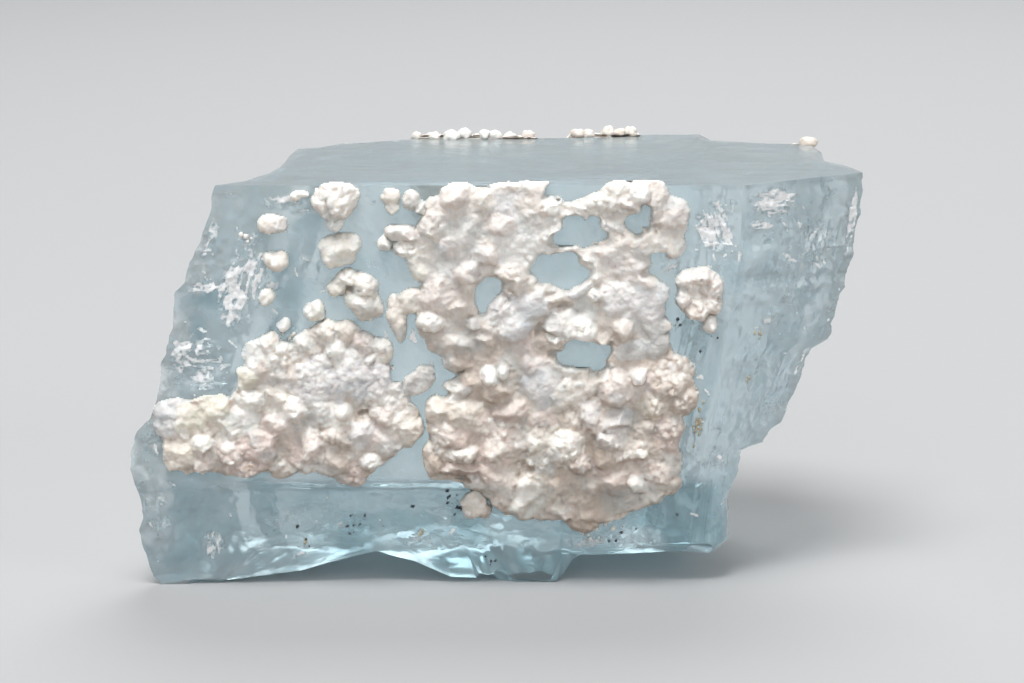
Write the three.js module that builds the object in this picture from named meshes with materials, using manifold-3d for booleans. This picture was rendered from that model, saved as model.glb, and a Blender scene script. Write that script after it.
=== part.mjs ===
import * as THREE from "three";
import { mergeVertices } from "three/addons/utils/BufferGeometryUtils.js";
import Module from "manifold-3d";

// Topaz crystal with albite, a hand specimen that rests on its own broken feet.
// Millimetres, +Z up. The face that carries the albite looks along -Y, X runs to the right along it,
// and the origin is on the floor, under the middle of the specimen.

// Driving dimensions of the topaz
const TOP_Z = 34.8; // flat cleavage face, above the floor
const FRONT_Y = -15.3; // plane of the front face
const LEDGE_Z = 9.4; // below this ledge the front face is hollowed
const LEDGE_DROP = 1.4; // height over which the ledge turns into the hollow
const HOLLOW = 1.1; // depth of that hollow
const BACK_LEAN = 2.5; // how far the back runs in under the top face
const BELLY_Z = 2.2; // height of the underside between the feet
const BACK_RIM_Z = 1.6; // height of the lower rim at the back
const FOOT_RADIUS = 4.5; // reach of each foot on the underside
const FOOT_BURIAL = 0.5; // how far a foot is ground away to stand flat

// Outline of the top face as [x, y], anticlockwise from the front left corner
const FRONT_LEFT = [-23.9, FRONT_Y];
const FRONT_RIGHT = [20.6, FRONT_Y];
const RIGHT_CORNER = [31.4, -7.7];
const BACK_RIGHT_PEAK = [18.6, 17.2];
const BACK_LEFT_PEAK = [4.8, 14.4];
const TOP_OUTLINE = [
  FRONT_LEFT,
  FRONT_RIGHT,
  RIGHT_CORNER,
  [28.7, 1],
  [28.3, 10.3],
  [23.8, 11],
  [19.4, 12.8],
  BACK_RIGHT_PEAK,
  [12.8, 16.8],
  BACK_LEFT_PEAK,
  [-6.7, BACK_LEFT_PEAK[1]],
  [-14.2, 11],
  [-18.2, 7.4],
  [-18.9, -0.2],
  [-19.9, -8.2],
  [-21.5, -12.6],
];

// Broken edges seen from the front, as [height, x] from the floor up
const LEFT_EDGE = [
  [0, -29.5],
  [2, -30.5],
  [4.8, -31],
  [5.9, -30.5],
  [12, -31.6],
  [14.2, -30.5],
  [16, -29.2],
  [19.5, -28.8],
  [21.6, -28],
  [26.2, -27.5],
  [27.4, -26.5],
  [33.1, -24.3],
  [TOP_Z, FRONT_LEFT[0]],
];
const FRONT_RIGHT_EDGE = [
  [0, 15.8],
  [8, 16.8],
  [16, 18.3],
  [28, 20.3],
  [TOP_Z, FRONT_RIGHT[0]],
];
const RIGHT_EDGE = [
  [0, 16.9],
  [3.6, 19.6],
  [10.8, 20.5],
  [11.7, 22.2],
  [13.5, 24.1],
  [19.7, 27.2],
  [20.3, 28.6],
  [24.1, 29.8],
  [30.7, 31.3],
  [TOP_Z, RIGHT_CORNER[0]],
];

// Lower rim of the front face, as [x, height] from left to right
const FRONT_RIM = [
  [-29.5, 0],
  [-24, 0],
  [-20.2, 0.6],
  [-17, 1.1],
  [-13.3, 2.2],
  [-10.7, 2.7],
  [-7.9, 2],
  [-5.4, 1],
  [-3.2, 0.3],
  [-0.2, 1.2],
  [1, 0],
  [4.8, 0],
  [5.4, 2.5],
  [13.8, 2.8],
  [16.5, 3.8],
];

// Feet on the underside, as [x, y], and the middle that its rings close on
const FEET = [
  [-26.5, -12],
  [2.6, -12],
  [11.5, 8.5],
  [-19, 6.5],
];
const BELLY_MIDDLE = [-5, 0];

// Fineness of the topaz
const COLUMN_STEP = 2.1;
const TOP_RINGS = 2;
const SIDE_ROWS = 15;
const UNDER_RINGS = 7;

// Driving dimensions of the albite
const GAP = 0.3; // between a grain and the topaz
const CRUST = 0.8; // half the thickness of a crust's base, which the topaz trims
const GRAIN_SPACING = 2.9;
const GRAIN_RISE = 2.2; // how far a crust's grains stand out from the face
const SCATTER = 0.9; // how far a crust's grains are off their staggered rows

// The faces that carry albite: which way each looks along Y, and its plane
const FRONT = { facing: -1, plane: FRONT_Y };
const BACK = { facing: 1, plane: BACK_LEFT_PEAK[1] };
const BACK_RIGHT = { facing: 1, plane: 15.9 };
const BACK_CORNER = { facing: 1, plane: 10.4 };

// Outlines of the crusts, as [x, height]
const MAIN_OUTLINE = [
  [-5.2, 34.6],
  [-0.5, 34.7],
  [4.7, 34.7],
  [5.6, 33.1],
  [9.6, 34.6],
  [12.7, 34.7],
  [13, 33.4],
  [16.2, 33],
  [16.2, 31],
  [13.2, 27.4],
  [14.3, 21.2],
  [17.1, 17.3],
  [14.7, 13.4],
  [14.6, 8.8],
  [10.4, 5.2],
  [3.5, 5.3],
  [-0.3, 7.3],
  [-0.5, 9],
  [-5.9, 9.4],
  [-6, 16.2],
  [-2.5, 18.6],
  [-7, 22.1],
  [-6.4, 26.7],
  [-10.3, 28.6],
  [-10.3, 29.9],
  [-8.4, 30.9],
  [-5.2, 30.5],
];
const LEFT_OUTLINE = [
  [-28.8, 12.8],
  [-27.6, 16.2],
  [-22.3, 17],
  [-21.8, 19],
  [-20.6, 19.3],
  [-20.2, 22],
  [-18.7, 21.9],
  [-18.3, 20.4],
  [-16.4, 22.9],
  [-9.8, 22.4],
  [-9.2, 18.4],
  [-6.4, 15.2],
  [-8.4, 11.2],
  [-10.5, 9.3],
  [-19.4, 10],
  [-24.2, 9.4],
  [-28.9, 9.8],
];
const BACK_LEFT_OUTLINE = [
  [-9, 34.6],
  [-1.4, 34.7],
  [-0.8, 30.4],
  [-3, 26.4],
  [-8, 27.6],
];
const BACK_MIDDLE_OUTLINE = [
  [-0.4, 34.7],
  [3.6, 34.6],
  [4.2, 31.6],
  [0.6, 30.4],
];

// Grains of those crusts that stand out most, each [x, z, width, height, rise, turn]
const MAIN_LARGE = [
  [-3.6, 33.9, 3, 2.9, 2.4, 0.1],
  [12.1, 34.3, 1.8, 2.2, 2.2, 0.2],
  [-2.6, 27.6, 2.8, 2.6, 2.6, 0.4],
  [10.8, 22.1, 2.2, 2.4, 2.6, 0.6],
  [3, 7.3, 3.4, 3.8, 2.6, 0.3],
  [10.2, 17.4, 3.4, 3.6, 2.6, 0.2],
];
const LEFT_LARGE = [
  [-21.6, 11.6, 6, 4.3, 2.4, 0.1],
  [-16.5, 11.8, 2.9, 3.7, 2.3, 0.5],
];
const BACK_LEFT_LARGE = [
  [-7.6, 33.9, 2, 2.4, 1.5, 0.2],
  [-4.8, 33.6, 3, 3.2, 1.8, 0.4],
  [-2.2, 33.9, 2, 2.6, 1.6, 0.1],
];
const BACK_MIDDLE_LARGE = [
  [0.9, 33.8, 2.2, 2.6, 1.5, 0.2],
  [2.9, 33.9, 1.8, 2.4, 1.3, 0.6],
];

const COLOURS = {
  topaz: 0xa9c6cc,
  beige: 0xb9aca3,
  cream: 0xd9d0c6,
  yellow: 0xdedccf,
  white: 0xebe5df,
  peach: 0xdcc9b8,
  grey: 0xbdb8b4,
};
const TOPAZ_ROUGHNESS = 0.15;
const TOPAZ_OPACITY = 0.75;
const ALBITE_ROUGHNESS = 0.8;

// Crusts, each from its face, outline, larger grains and the seed of its scatter
const CRUSTS = {
  albite_main_cluster: {
    side: FRONT,
    outline: MAIN_OUTLINE,
    large: MAIN_LARGE,
    seed: 11,
    colour: COLOURS.beige,
  },
  albite_left_cluster: {
    side: FRONT,
    outline: LEFT_OUTLINE,
    large: LEFT_LARGE,
    seed: 23,
    colour: COLOURS.cream,
  },
  albite_back_crust_left: {
    side: BACK,
    outline: BACK_LEFT_OUTLINE,
    large: BACK_LEFT_LARGE,
    seed: 32,
    colour: COLOURS.white,
  },
  albite_back_crust_middle: {
    side: BACK,
    outline: BACK_MIDDLE_OUTLINE,
    large: BACK_MIDDLE_LARGE,
    seed: 37,
    colour: COLOURS.peach,
  },
};

// Small growths, each a few grains as [x, z, width, height, rise, turn]
const GROWTHS = {
  albite_top_left_nodule: {
    side: FRONT,
    colour: COLOURS.cream,
    grains: [
      [-13.7, 33.6, 3.5, 3.1, 2.1, 0.3],
      [-13.9, 31.6, 1.8, 1.7, 1.4],
    ],
  },
  albite_yellow_block: {
    side: FRONT,
    colour: COLOURS.yellow,
    grains: [[-13.5, 29.3, 3.4, 2.8, 1.7, 0.2]],
  },
  albite_ring_cluster: {
    side: FRONT,
    colour: COLOURS.yellow,
    grains: [
      [-12.9, 26.7, 2.2, 1.8, 1.5, 0.4],
      [-11.4, 25.4, 3.1, 3.6, 2, 0.1],
      [-13.6, 25.8, 1.6, 1.6, 1.3, 0.7],
    ],
  },
  albite_flat_grain: {
    side: FRONT,
    colour: COLOURS.grey,
    grains: [[-16.8, 34, 1.9, 1, 0.8]],
  },
  albite_grey_nodule: {
    side: FRONT,
    colour: COLOURS.cream,
    grains: [[-19.1, 31.5, 2.7, 1.5, 1.4, 0.1]],
  },
  albite_peach_grain: {
    side: FRONT,
    colour: COLOURS.peach,
    grains: [[-18.9, 28.4, 2.1, 2, 1.4, 0.5]],
  },
  albite_small_yellow_grain: {
    side: FRONT,
    colour: COLOURS.yellow,
    grains: [[-19.6, 25.2, 1.3, 1.4, 0.9]],
  },
  albite_tipped_grain: {
    side: FRONT,
    colour: COLOURS.yellow,
    grains: [[-15.8, 24.1, 1.9, 1.8, 1.3, 0.3]],
  },
  albite_edge_grain_left: {
    side: FRONT,
    colour: COLOURS.cream,
    grains: [[-9.1, 33.6, 1.4, 2, 1.1]],
  },
  albite_edge_grain_right: {
    side: FRONT,
    colour: COLOURS.cream,
    grains: [[-7.1, 33.3, 1.9, 2, 1.2, 0.2]],
  },
  albite_white_rhomb: {
    side: FRONT,
    colour: COLOURS.white,
    grains: [[-18.2, 22.9, 1.1, 1, 0.8, 0.8]],
  },
  albite_glassy_rhomb: {
    side: FRONT,
    colour: COLOURS.grey,
    grains: [[-6.7, 18.1, 2.8, 1.9, 0.9, 0.2]],
  },
  albite_coil_grain: {
    side: FRONT,
    colour: COLOURS.beige,
    grains: [
      [16.9, 25.5, 3.5, 4.7, 1.8, 0.1],
      [17.9, 23, 1.6, 2, 1.2],
    ],
  },
  albite_lower_plate: {
    side: FRONT,
    colour: COLOURS.beige,
    grains: [[-2, 6.9, 2.3, 2.6, 1.3, 0.3]],
  },
  albite_back_crust_right: {
    side: BACK_RIGHT,
    colour: COLOURS.peach,
    grains: [
      [7.6, 33.7, 2.4, 2.8, 1.6, 0.2],
      [9.6, 33.5, 2.8, 3.4, 1.9, 0.5],
      [11.8, 33.7, 2.4, 2.8, 1.7, 0.1],
    ],
  },
  albite_back_corner_grain: {
    side: BACK_CORNER,
    colour: COLOURS.peach,
    grains: [[27.2, 34.2, 1.6, 1.8, 1.4, 0.4]],
  },
};

const FAR = 50; // beyond the specimen on every side
const DODECAHEDRON_REACH = 0.934; // largest coordinate of one of radius 1
const { lerp, mapLinear, smoothstep } = THREE.MathUtils;

const wasm = await Module();
wasm.setup();

// Repeatable random numbers from 0 to 1, by a linear congruential rule
function randomFrom(seed) {
  const multiplier = 1664525;
  const increment = 1013904223;
  const modulus = 2 ** 32;
  let state = seed;
  return () => {
    state = (state * multiplier + increment) % modulus;
    return state / modulus;
  };
}

// Value at `key` on straight lines through [key, value] points
function along(points, key) {
  const last = points.length - 1;
  if (key <= points[0][0]) return points[0][1];
  if (key >= points[last][0]) return points[last][1];
  const next = points.findIndex(([at]) => at >= key);
  const [from, low] = points[next - 1];
  const [to, high] = points[next];
  return mapLinear(key, from, to, low, high);
}

// Closed three.js geometry as a manifold-3d solid
function solidOf(geometry) {
  const bare = geometry.clone();
  bare.deleteAttribute("normal");
  bare.deleteAttribute("uv");
  const merged = mergeVertices(bare, 1e-4);
  const mesh = new wasm.Mesh({
    numProp: 3,
    vertProperties: new Float32Array(merged.attributes.position.array),
    triVerts: new Uint32Array(merged.index.array),
  });
  return new wasm.Manifold(mesh);
}

// A solid as flat-shaded three.js geometry
function geometryOf(solid) {
  const { vertProperties, triVerts } = solid.getMesh();
  const indexed = new THREE.BufferGeometry();
  indexed.setAttribute("position", new THREE.BufferAttribute(vertProperties, 3));
  indexed.setIndex(new THREE.BufferAttribute(triVerts, 1));
  const flat = indexed.toNonIndexed();
  flat.computeVertexNormals();
  return flat;
}

function blockBetween(low, high) {
  const size = high.map((value, axis) => value - low[axis]);
  const box = new THREE.BoxGeometry(...size);
  box.translate(...low.map((value, axis) => value + size[axis] / 2));
  return solidOf(box);
}

// Stations round the top outline, with every corner kept as a station
function outlineStations() {
  const stations = [];
  TOP_OUTLINE.forEach(([x, y], corner) => {
    const [nextX, nextY] = TOP_OUTLINE[(corner + 1) % TOP_OUTLINE.length];
    const length = Math.hypot(nextX - x, nextY - y);
    const steps = Math.max(1, Math.round(length / COLUMN_STEP));
    for (let step = 0; step < steps; step += 1) {
      const share = step / steps;
      stations.push([lerp(x, nextX, share), lerp(y, nextY, share)]);
    }
  });
  return stations;
}

// Depth of the hollow in the front face, none above the ledge and least at the left foot
function hollowAt(x, z) {
  const belowLedge = 1 - smoothstep(z, LEDGE_Z - LEDGE_DROP, LEDGE_Z);
  const offFoot = smoothstep(x, FEET[0][0] - 1.5, -16);
  return HOLLOW * belowLedge * lerp(0.35, 1, offFoot);
}

// Depth from the front face on the right facet, which narrows and turns in towards the floor
function facetDepthAt(depth, facetShare) {
  const facet = RIGHT_CORNER[1] - FRONT_Y;
  const behind = BACK_RIGHT_PEAK[1] - RIGHT_CORNER[1];
  const onFacet = Math.min(depth, facet) * facetShare;
  const pastCorner = Math.max(depth - facet, 0);
  return onFacet + pastCorner * (1 + ((1 - facetShare) * facet) / behind);
}

// Where the column under a top outline point is at height z
function columnAt([topX, topY], z) {
  const left = along(LEFT_EDGE, z);
  const middle = along(FRONT_RIGHT_EDGE, z);
  const right = along(RIGHT_EDGE, z);
  const topFacet = RIGHT_CORNER[0] - FRONT_RIGHT[0];
  let depth = topY - FRONT_Y;
  const atBack = smoothstep(depth, 14, 26);
  const atFront = 1 - smoothstep(depth, 0, 4);
  let x = mapLinear(topX, FRONT_LEFT[0], FRONT_RIGHT[0], left, middle);
  if (topX > FRONT_RIGHT[0]) {
    x = mapLinear(topX, FRONT_RIGHT[0], RIGHT_CORNER[0], middle, right);
    depth = facetDepthAt(depth, (right - middle) / topFacet);
  }
  depth -= BACK_LEAN * atBack * (1 - z / TOP_Z);
  return [x, FRONT_Y + depth + hollowAt(x, z) * atFront];
}

// Height of the lower rim under a top outline point
function rimAt(station) {
  const [x] = columnAt(station, BELLY_Z);
  const atBack = smoothstep(station[1] - FRONT_Y, 2, 12);
  return lerp(along(FRONT_RIM, x), BACK_RIM_Z, atBack);
}

// Underside: a shallow belly that dips at each foot, to below the floor where it is cut off flat
function undersideAt(x, y, rimZ, inward) {
  const belly = lerp(rimZ, BELLY_Z, smoothstep(inward, 0, 0.4));
  const distances = FEET.map(([footX, footY]) => Math.hypot(x - footX, y - footY));
  const foot = 1 - smoothstep(Math.min(...distances), FOOT_RADIUS / 2, FOOT_RADIUS);
  return lerp(belly, -FOOT_BURIAL, foot);
}

// One point of the topaz: rings across the top face, rows down the sides, rings in over the underside
function topazPoint(station, row) {
  const [x, y] = station;
  if (row < TOP_RINGS) {
    const out = row / TOP_RINGS;
    return [x * out, y * out, TOP_Z];
  }
  const rimZ = rimAt(station);
  const down = row - TOP_RINGS;
  if (down <= SIDE_ROWS) {
    const z = lerp(TOP_Z, rimZ, down / SIDE_ROWS);
    return [...columnAt(station, z), z];
  }
  const inward = (down - SIDE_ROWS) / UNDER_RINGS;
  const [rimX, rimY] = columnAt(station, rimZ);
  const underX = lerp(rimX, BELLY_MIDDLE[0], inward);
  const underY = lerp(rimY, BELLY_MIDDLE[1], inward);
  return [underX, underY, undersideAt(underX, underY, rimZ, inward)];
}

// The topaz is a sphere's grid of columns and rows carried onto the crystal
function topazSolid() {
  const stations = outlineStations();
  const columns = stations.length;
  const rows = TOP_RINGS + SIDE_ROWS + UNDER_RINGS;
  const grid = new THREE.SphereGeometry(1, columns, rows);
  const { position, uv } = grid.attributes;
  for (let i = 0; i < position.count; i += 1) {
    const column = Math.round(uv.getX(i) * columns) + columns;
    const row = Math.round((1 - uv.getY(i)) * rows);
    position.setXYZ(i, ...topazPoint(stations[column % columns], row));
  }
  const floor = blockBetween([-FAR, -FAR, -FAR], [FAR, FAR, 0]);
  return solidOf(grid).subtract(floor);
}

// One blocky albite crystal, which stands out by `rise` from the plane at y
function grainSolid({ x, y, z, width, height, rise, turn }) {
  const grain = new THREE.DodecahedronGeometry(1 / DODECAHEDRON_REACH, 0);
  grain.scale(width / 2, rise, height / 2);
  grain.rotateY(turn);
  grain.translate(x, y, z);
  return solidOf(grain);
}

// Whether a point is inside an outline, by the edges that a line from it to the left crosses
function insideOutline(outline, x, z) {
  let inside = false;
  outline.forEach(([ax, az], corner) => {
    const [bx, bz] = outline[(corner + 1) % outline.length];
    const spans = az > z !== bz > z;
    if (spans && x < mapLinear(z, az, bz, ax, bx)) inside = !inside;
  });
  return inside;
}

// Whether a grain of half size `reach` keeps inside an outline
function fitsOutline(outline, x, z, reach) {
  const sides = [
    [reach, 0],
    [-reach, 0],
    [0, reach],
    [0, -reach],
  ];
  return sides.every(([dx, dz]) => insideOutline(outline, x + dx, z + dz));
}

// Grains on staggered rows inside an outline on the face, each a little off its place
function fillGrains(outline, y, seed) {
  const random = randomFrom(seed);
  const xs = outline.map(([x]) => x);
  const zs = outline.map(([, z]) => z);
  const rowStep = GRAIN_SPACING * Math.sin(Math.PI / 3);
  const grains = [];
  let row = 0;
  for (let rowZ = Math.min(...zs); rowZ < Math.max(...zs); rowZ += rowStep) {
    const start = Math.min(...xs) + (row % 2) * (GRAIN_SPACING / 2);
    for (let rowX = start; rowX < Math.max(...xs); rowX += GRAIN_SPACING) {
      const x = rowX + (random() - 0.5) * SCATTER;
      const z = rowZ + (random() - 0.5) * SCATTER;
      const width = GRAIN_SPACING * lerp(1.05, 1.4, random());
      const rise = GRAIN_RISE * lerp(0.75, 1.15, random());
      const turn = random() * Math.PI;
      const height = width * lerp(0.8, 1.1, random());
      if (fitsOutline(outline, x, z, width * 0.4)) grains.push({ x, y, z, width, height, rise, turn });
    }
    row += 1;
  }
  return grains;
}

// A crust's thin base, which follows its outline on its face
function crustBase(outline, { facing, plane }) {
  const shape = new THREE.Shape(outline.map(([x, z]) => new THREE.Vector2(x, z)));
  const base = new THREE.ExtrudeGeometry(shape, { depth: 2 * CRUST, bevelEnabled: false });
  base.translate(0, 0, -CRUST);
  base.rotateX(Math.PI / 2);
  base.translate(0, plane + facing * 0.2 * CRUST, 0);
  return solidOf(base);
}

// Grains set one by one on a face, from their lists
function setGrains(list, { plane }) {
  return list.map(([x, z, width, height, rise, turn = 0]) =>
    grainSolid({ x, y: plane, z, width, height, rise, turn }),
  );
}

// Everything behind a face's plane near the top, where a grain could reach over the edge
function behindEdge({ facing, plane }) {
  const edge = plane + facing * GAP;
  const low = TOP_Z - 1;
  if (facing < 0) return blockBetween([-FAR, edge, low], [FAR, FAR, FAR]);
  return blockBetween([-FAR, -FAR, low], [FAR, edge, FAR]);
}

// Joins the pieces of one growth of albite, and trims it clear of the topaz
function growthOf(pieces, side, topaz) {
  const joined = pieces.reduce((sum, piece) => sum.add(piece));
  const shifted = topaz.translate([0, side.facing * GAP, 0]);
  const bodies = joined.subtract(shifted).subtract(behindEdge(side)).decompose();
  return bodies.sort((a, b) => b.volume() - a.volume())[0];
}

// A crust: its base, the grains that fill it, and its larger ones
function crustOf({ side, outline, large, seed }, topaz) {
  const filling = fillGrains(outline, side.plane, seed).map(grainSolid);
  return growthOf([crustBase(outline, side), ...filling, ...setGrains(large, side)], side, topaz);
}

function pieceOf(name, solid, colour, finish) {
  const material = new THREE.MeshStandardMaterial({ color: colour, metalness: 0, ...finish });
  const mesh = new THREE.Mesh(geometryOf(solid), material);
  mesh.name = name;
  return mesh;
}

function buildSpecimen() {
  const specimen = new THREE.Group();
  const topaz = topazSolid();
  const clear = { roughness: TOPAZ_ROUGHNESS, opacity: TOPAZ_OPACITY, transparent: true };
  const dull = { roughness: ALBITE_ROUGHNESS };
  specimen.add(pieceOf("topaz_crystal", topaz, COLOURS.topaz, clear));
  for (const [name, crust] of Object.entries(CRUSTS))
    specimen.add(pieceOf(name, crustOf(crust, topaz), crust.colour, dull));
  for (const [name, { side, colour, grains }] of Object.entries(GROWTHS))
    specimen.add(pieceOf(name, growthOf(setGrains(grains, side), side, topaz), colour, dull));
  return specimen;
}

export default buildSpecimen();
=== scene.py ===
"""Looks of the topaz with albite: a clear, broken topaz crystal and the albite that grew on it.

Every length is in metres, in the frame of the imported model: +X right along the face that carries the
albite, +Y away from the camera, +Z up from the floor.
"""

import logging
import math
from collections.abc import Callable
from dataclasses import dataclass, field
from enum import Enum

import bmesh
import bpy
import numpy as np
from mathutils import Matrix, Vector


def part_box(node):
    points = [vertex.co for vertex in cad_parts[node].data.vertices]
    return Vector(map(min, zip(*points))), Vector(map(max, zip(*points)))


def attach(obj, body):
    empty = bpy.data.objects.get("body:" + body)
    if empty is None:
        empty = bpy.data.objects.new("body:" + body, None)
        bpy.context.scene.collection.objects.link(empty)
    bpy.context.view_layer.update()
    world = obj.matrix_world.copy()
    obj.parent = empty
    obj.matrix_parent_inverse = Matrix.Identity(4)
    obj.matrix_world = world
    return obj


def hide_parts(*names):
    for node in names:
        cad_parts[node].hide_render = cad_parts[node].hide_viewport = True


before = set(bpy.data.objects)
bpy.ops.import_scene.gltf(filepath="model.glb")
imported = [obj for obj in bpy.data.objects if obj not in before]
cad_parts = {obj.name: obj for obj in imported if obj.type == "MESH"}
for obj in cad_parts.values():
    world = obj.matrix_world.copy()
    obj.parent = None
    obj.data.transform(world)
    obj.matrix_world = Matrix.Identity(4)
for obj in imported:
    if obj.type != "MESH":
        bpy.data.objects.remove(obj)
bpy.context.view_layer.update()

MM = 0.001
BODY = "root"
LOG = logging.getLogger("topaz")

Array = np.ndarray
Object = bpy.types.Object
Socket = bpy.types.NodeSocket
Colour = tuple[float, float, float, float]
Points = tuple[tuple[float, float], ...]


# Numbers on whole arrays


def smooth(value: Array, low: float, high: float) -> Array:
    """Smooth step: 0 up to low, 1 from high on, and 3t^2 - 2t^3 of the share t between them.

    Args:
        value: Numbers to carry over.
        low: Where the step begins.
        high: Where it ends; it may lie below low, and the step then falls.

    Returns:
        The step's height for each number, from 0 to 1.
    """
    share = np.clip((value - low) / (high - low), 0.0, 1.0)
    return share * share * (3.0 - 2.0 * share)


def mix(low: Array | float, high: Array | float, share: Array | float) -> Array:
    """Weighted middle of two values: low + (high - low) * share."""
    return low + (high - low) * share


def along(points: Points, key: Array) -> Array:
    """Height of a line through (key, value) points, straight between them."""
    keys, values = np.array(points, float).T
    return np.interp(key, keys, values)


def lattice(cells: Array, seed: int) -> Array:
    """Repeatable random number for each whole-number cell.

    The cell's three coordinates and the seed are multiplied by large odd numbers, folded together with
    exclusive or, stirred twice and cut to 24 bits.

    Args:
        cells: Whole numbers, the last axis of length 3.
        seed: Which of the many patterns to give.

    Returns:
        One number from 0 to 1 for each cell.
    """
    folded = cells.astype(np.int64) & 0xFFFFFFFF
    mixed = folded[..., 0] * 374761393 ^ folded[..., 1] * 668265263 ^ folded[..., 2] * 2147483647
    mixed = (mixed ^ (seed * 1274126177)) & 0xFFFFFFFF
    mixed = ((mixed ^ (mixed >> 13)) * 1103515245) & 0xFFFFFFFF
    mixed = ((mixed ^ (mixed >> 16)) * 69069) & 0xFFFFFFFF
    return ((mixed ^ (mixed >> 15)) & 0xFFFFFF) / float(0xFFFFFF)


def value_noise(at: Array, seed: int) -> Array:
    """Smooth noise: the lattice's random numbers, blended between the eight corners of each cell.

    Args:
        at: Places in cells, the last axis of length 3.
        seed: Which pattern.

    Returns:
        Noise from -1 to 1 at each place.
    """
    base = np.floor(at)
    inside = at - base
    weight = inside * inside * (3.0 - 2.0 * inside)
    total = np.zeros(at.shape[:-1])
    for corner in range(8):
        step = np.array([corner & 1, corner >> 1 & 1, corner >> 2 & 1])
        share = np.prod(np.where(step == 1, weight, 1.0 - weight), axis=-1)
        total += share * lattice(base + step, seed)
    return total * 2.0 - 1.0


def fractal(at: Array, seed: int, octaves: int = 4, gain: float = 0.5) -> Array:
    """Sum of octaves of noise, each twice as fine as the one before and gain times as strong.

    Args:
        at: Places in cells of the coarsest octave, the last axis of length 3.
        seed: Which pattern.
        octaves: How many octaves are added.
        gain: Strength of each octave against the one before.

    Returns:
        Noise of about -1 to 1 at each place.
    """
    total = np.zeros(at.shape[:-1])
    strength, most = 1.0, 0.0
    for octave in range(octaves):
        total += strength * value_noise(at * 2.0**octave + 17.3 * octave, seed + octave)
        most += strength
        strength *= gain
    return total / most


def ridged(at: Array, seed: int, octaves: int = 3) -> Array:
    """Noise with sharp crests: one less the size of fractal noise, squared, from 0 to 1."""
    return (1.0 - np.abs(fractal(at, seed, octaves))) ** 2


def scalloped(at: Array, seed: int) -> Array:
    """Shell-shaped fracture: bowls that meet in sharp ridges.

    Each cell of space holds one bowl with its own middle, tilt and depth. The height is the least,
    over the cells around a place, of its squared distance from the bowl's middle, plus the tilt along
    that distance, plus the depth.

    Args:
        at: Places in cells, the last axis of length 3.
        seed: Which pattern.

    Returns:
        Heights of about 0 in a bowl's bottom to 1 on a ridge.
    """
    base = np.floor(at)
    least = np.full(at.shape[:-1], 9.0)
    for number in range(27):
        cell = base + np.array([number % 3, number // 3 % 3, number // 9]) - 1.0
        middle = cell + np.stack([lattice(cell, seed + axis) for axis in range(3)], axis=-1)
        tilt = np.stack([lattice(cell, seed + 3 + axis) for axis in range(3)], axis=-1) - 0.5
        away = at - middle
        bowl = (away**2).sum(-1) + 0.9 * (away * tilt).sum(-1) + 0.35 * lattice(cell, seed + 6)
        least = np.minimum(least, bowl)
    return least


def soft_max(low: Array, high: Array, width: float) -> Array:
    """Larger of two heights, with the crease between them rounded over a width."""
    near = np.maximum(width - np.abs(low - high), 0.0) / width
    return np.maximum(low, high) + near * near * width / 4.0


def spread(*axes: Array | float) -> Array:
    """Coordinate arrays of any matching shapes put together as points on a last axis."""
    return np.stack(np.broadcast_arrays(*axes), axis=-1).astype(float)


def turned(across: Array, up: Array, angle: float) -> tuple[Array, Array]:
    """Offsets measured along axes that are turned by an angle in radians."""
    cosine, sine = math.cos(angle), math.sin(angle)
    return across * cosine + up * sine, up * cosine - across * sine


def blurred(values: Array, reach: int, times: int) -> Array:
    """Values blurred again and again, along both axes, by a 1-2-1 filter that reaches some cells."""
    for _ in range(times):
        for axis in (0, 1):
            both = np.roll(values, reach, axis) + 2.0 * values + np.roll(values, -reach, axis)
            values = both / 4.0
    return values


# Meshes from grids


def grid_faces(rows: int, columns: int, around: bool) -> Array:
    """Quads of a grid of rows by columns points, numbered row by row.

    Args:
        rows: Rows of points.
        columns: Points in a row.
        around: Whether the last column joins the first.

    Returns:
        Array of quads, four point numbers each.
    """
    row = np.arange(rows - 1)[:, None] * columns
    column = np.arange(columns if around else columns - 1)[None, :]
    after = (column + 1) % columns
    quads = [row + column, row + columns + column, row + columns + after, row + after]
    return np.stack(np.broadcast_arrays(*quads), axis=-1).reshape(-1, 4)


def window(x: Array, z: Array, middle_x: float, middle_z: float, reach: float) -> tuple[slice, slice]:
    """Rows and columns of a level grid that lie within reach of a place.

    Args:
        x: Places across of the grid's points.
        z: Their heights.
        middle_x: Place across of the middle.
        middle_z: Its height.
        reach: How far the window goes each way.

    Returns:
        The rows and the columns.
    """
    columns = slice(*np.searchsorted(x[0], [middle_x - reach, middle_x + reach]))
    rows = slice(*np.searchsorted(z[:, 0], [middle_z - reach, middle_z + reach]))
    return rows, columns


def mesh_object(
    name: str, points: Array, quads: Array, triangles: Array | None = None
) -> Object:
    """Object with a mesh of quads and triangles.

    Args:
        name: Name of the object and its mesh.
        points: Its corners, in metres.
        quads: Four point numbers each.
        triangles: Three point numbers each, if it has any.

    Returns:
        The object, linked to the scene.
    """
    triangles = np.empty((0, 3), int) if triangles is None else triangles
    mesh = bpy.data.meshes.new(name)
    mesh.vertices.add(len(points))
    mesh.vertices.foreach_set("co", np.ascontiguousarray(points, np.float32).ravel())
    corners = np.concatenate([quads.ravel(), triangles.ravel()]).astype(np.int32)
    starts = np.concatenate([np.arange(len(quads)) * 4, len(quads) * 4 + np.arange(len(triangles)) * 3])
    mesh.loops.add(len(corners))
    mesh.loops.foreach_set("vertex_index", corners)
    mesh.polygons.add(len(starts))
    mesh.polygons.foreach_set("loop_start", starts.astype(np.int32))
    mesh.update(calc_edges=True)
    made = bpy.data.objects.new(name, mesh)
    bpy.context.scene.collection.objects.link(made)
    return made


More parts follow.
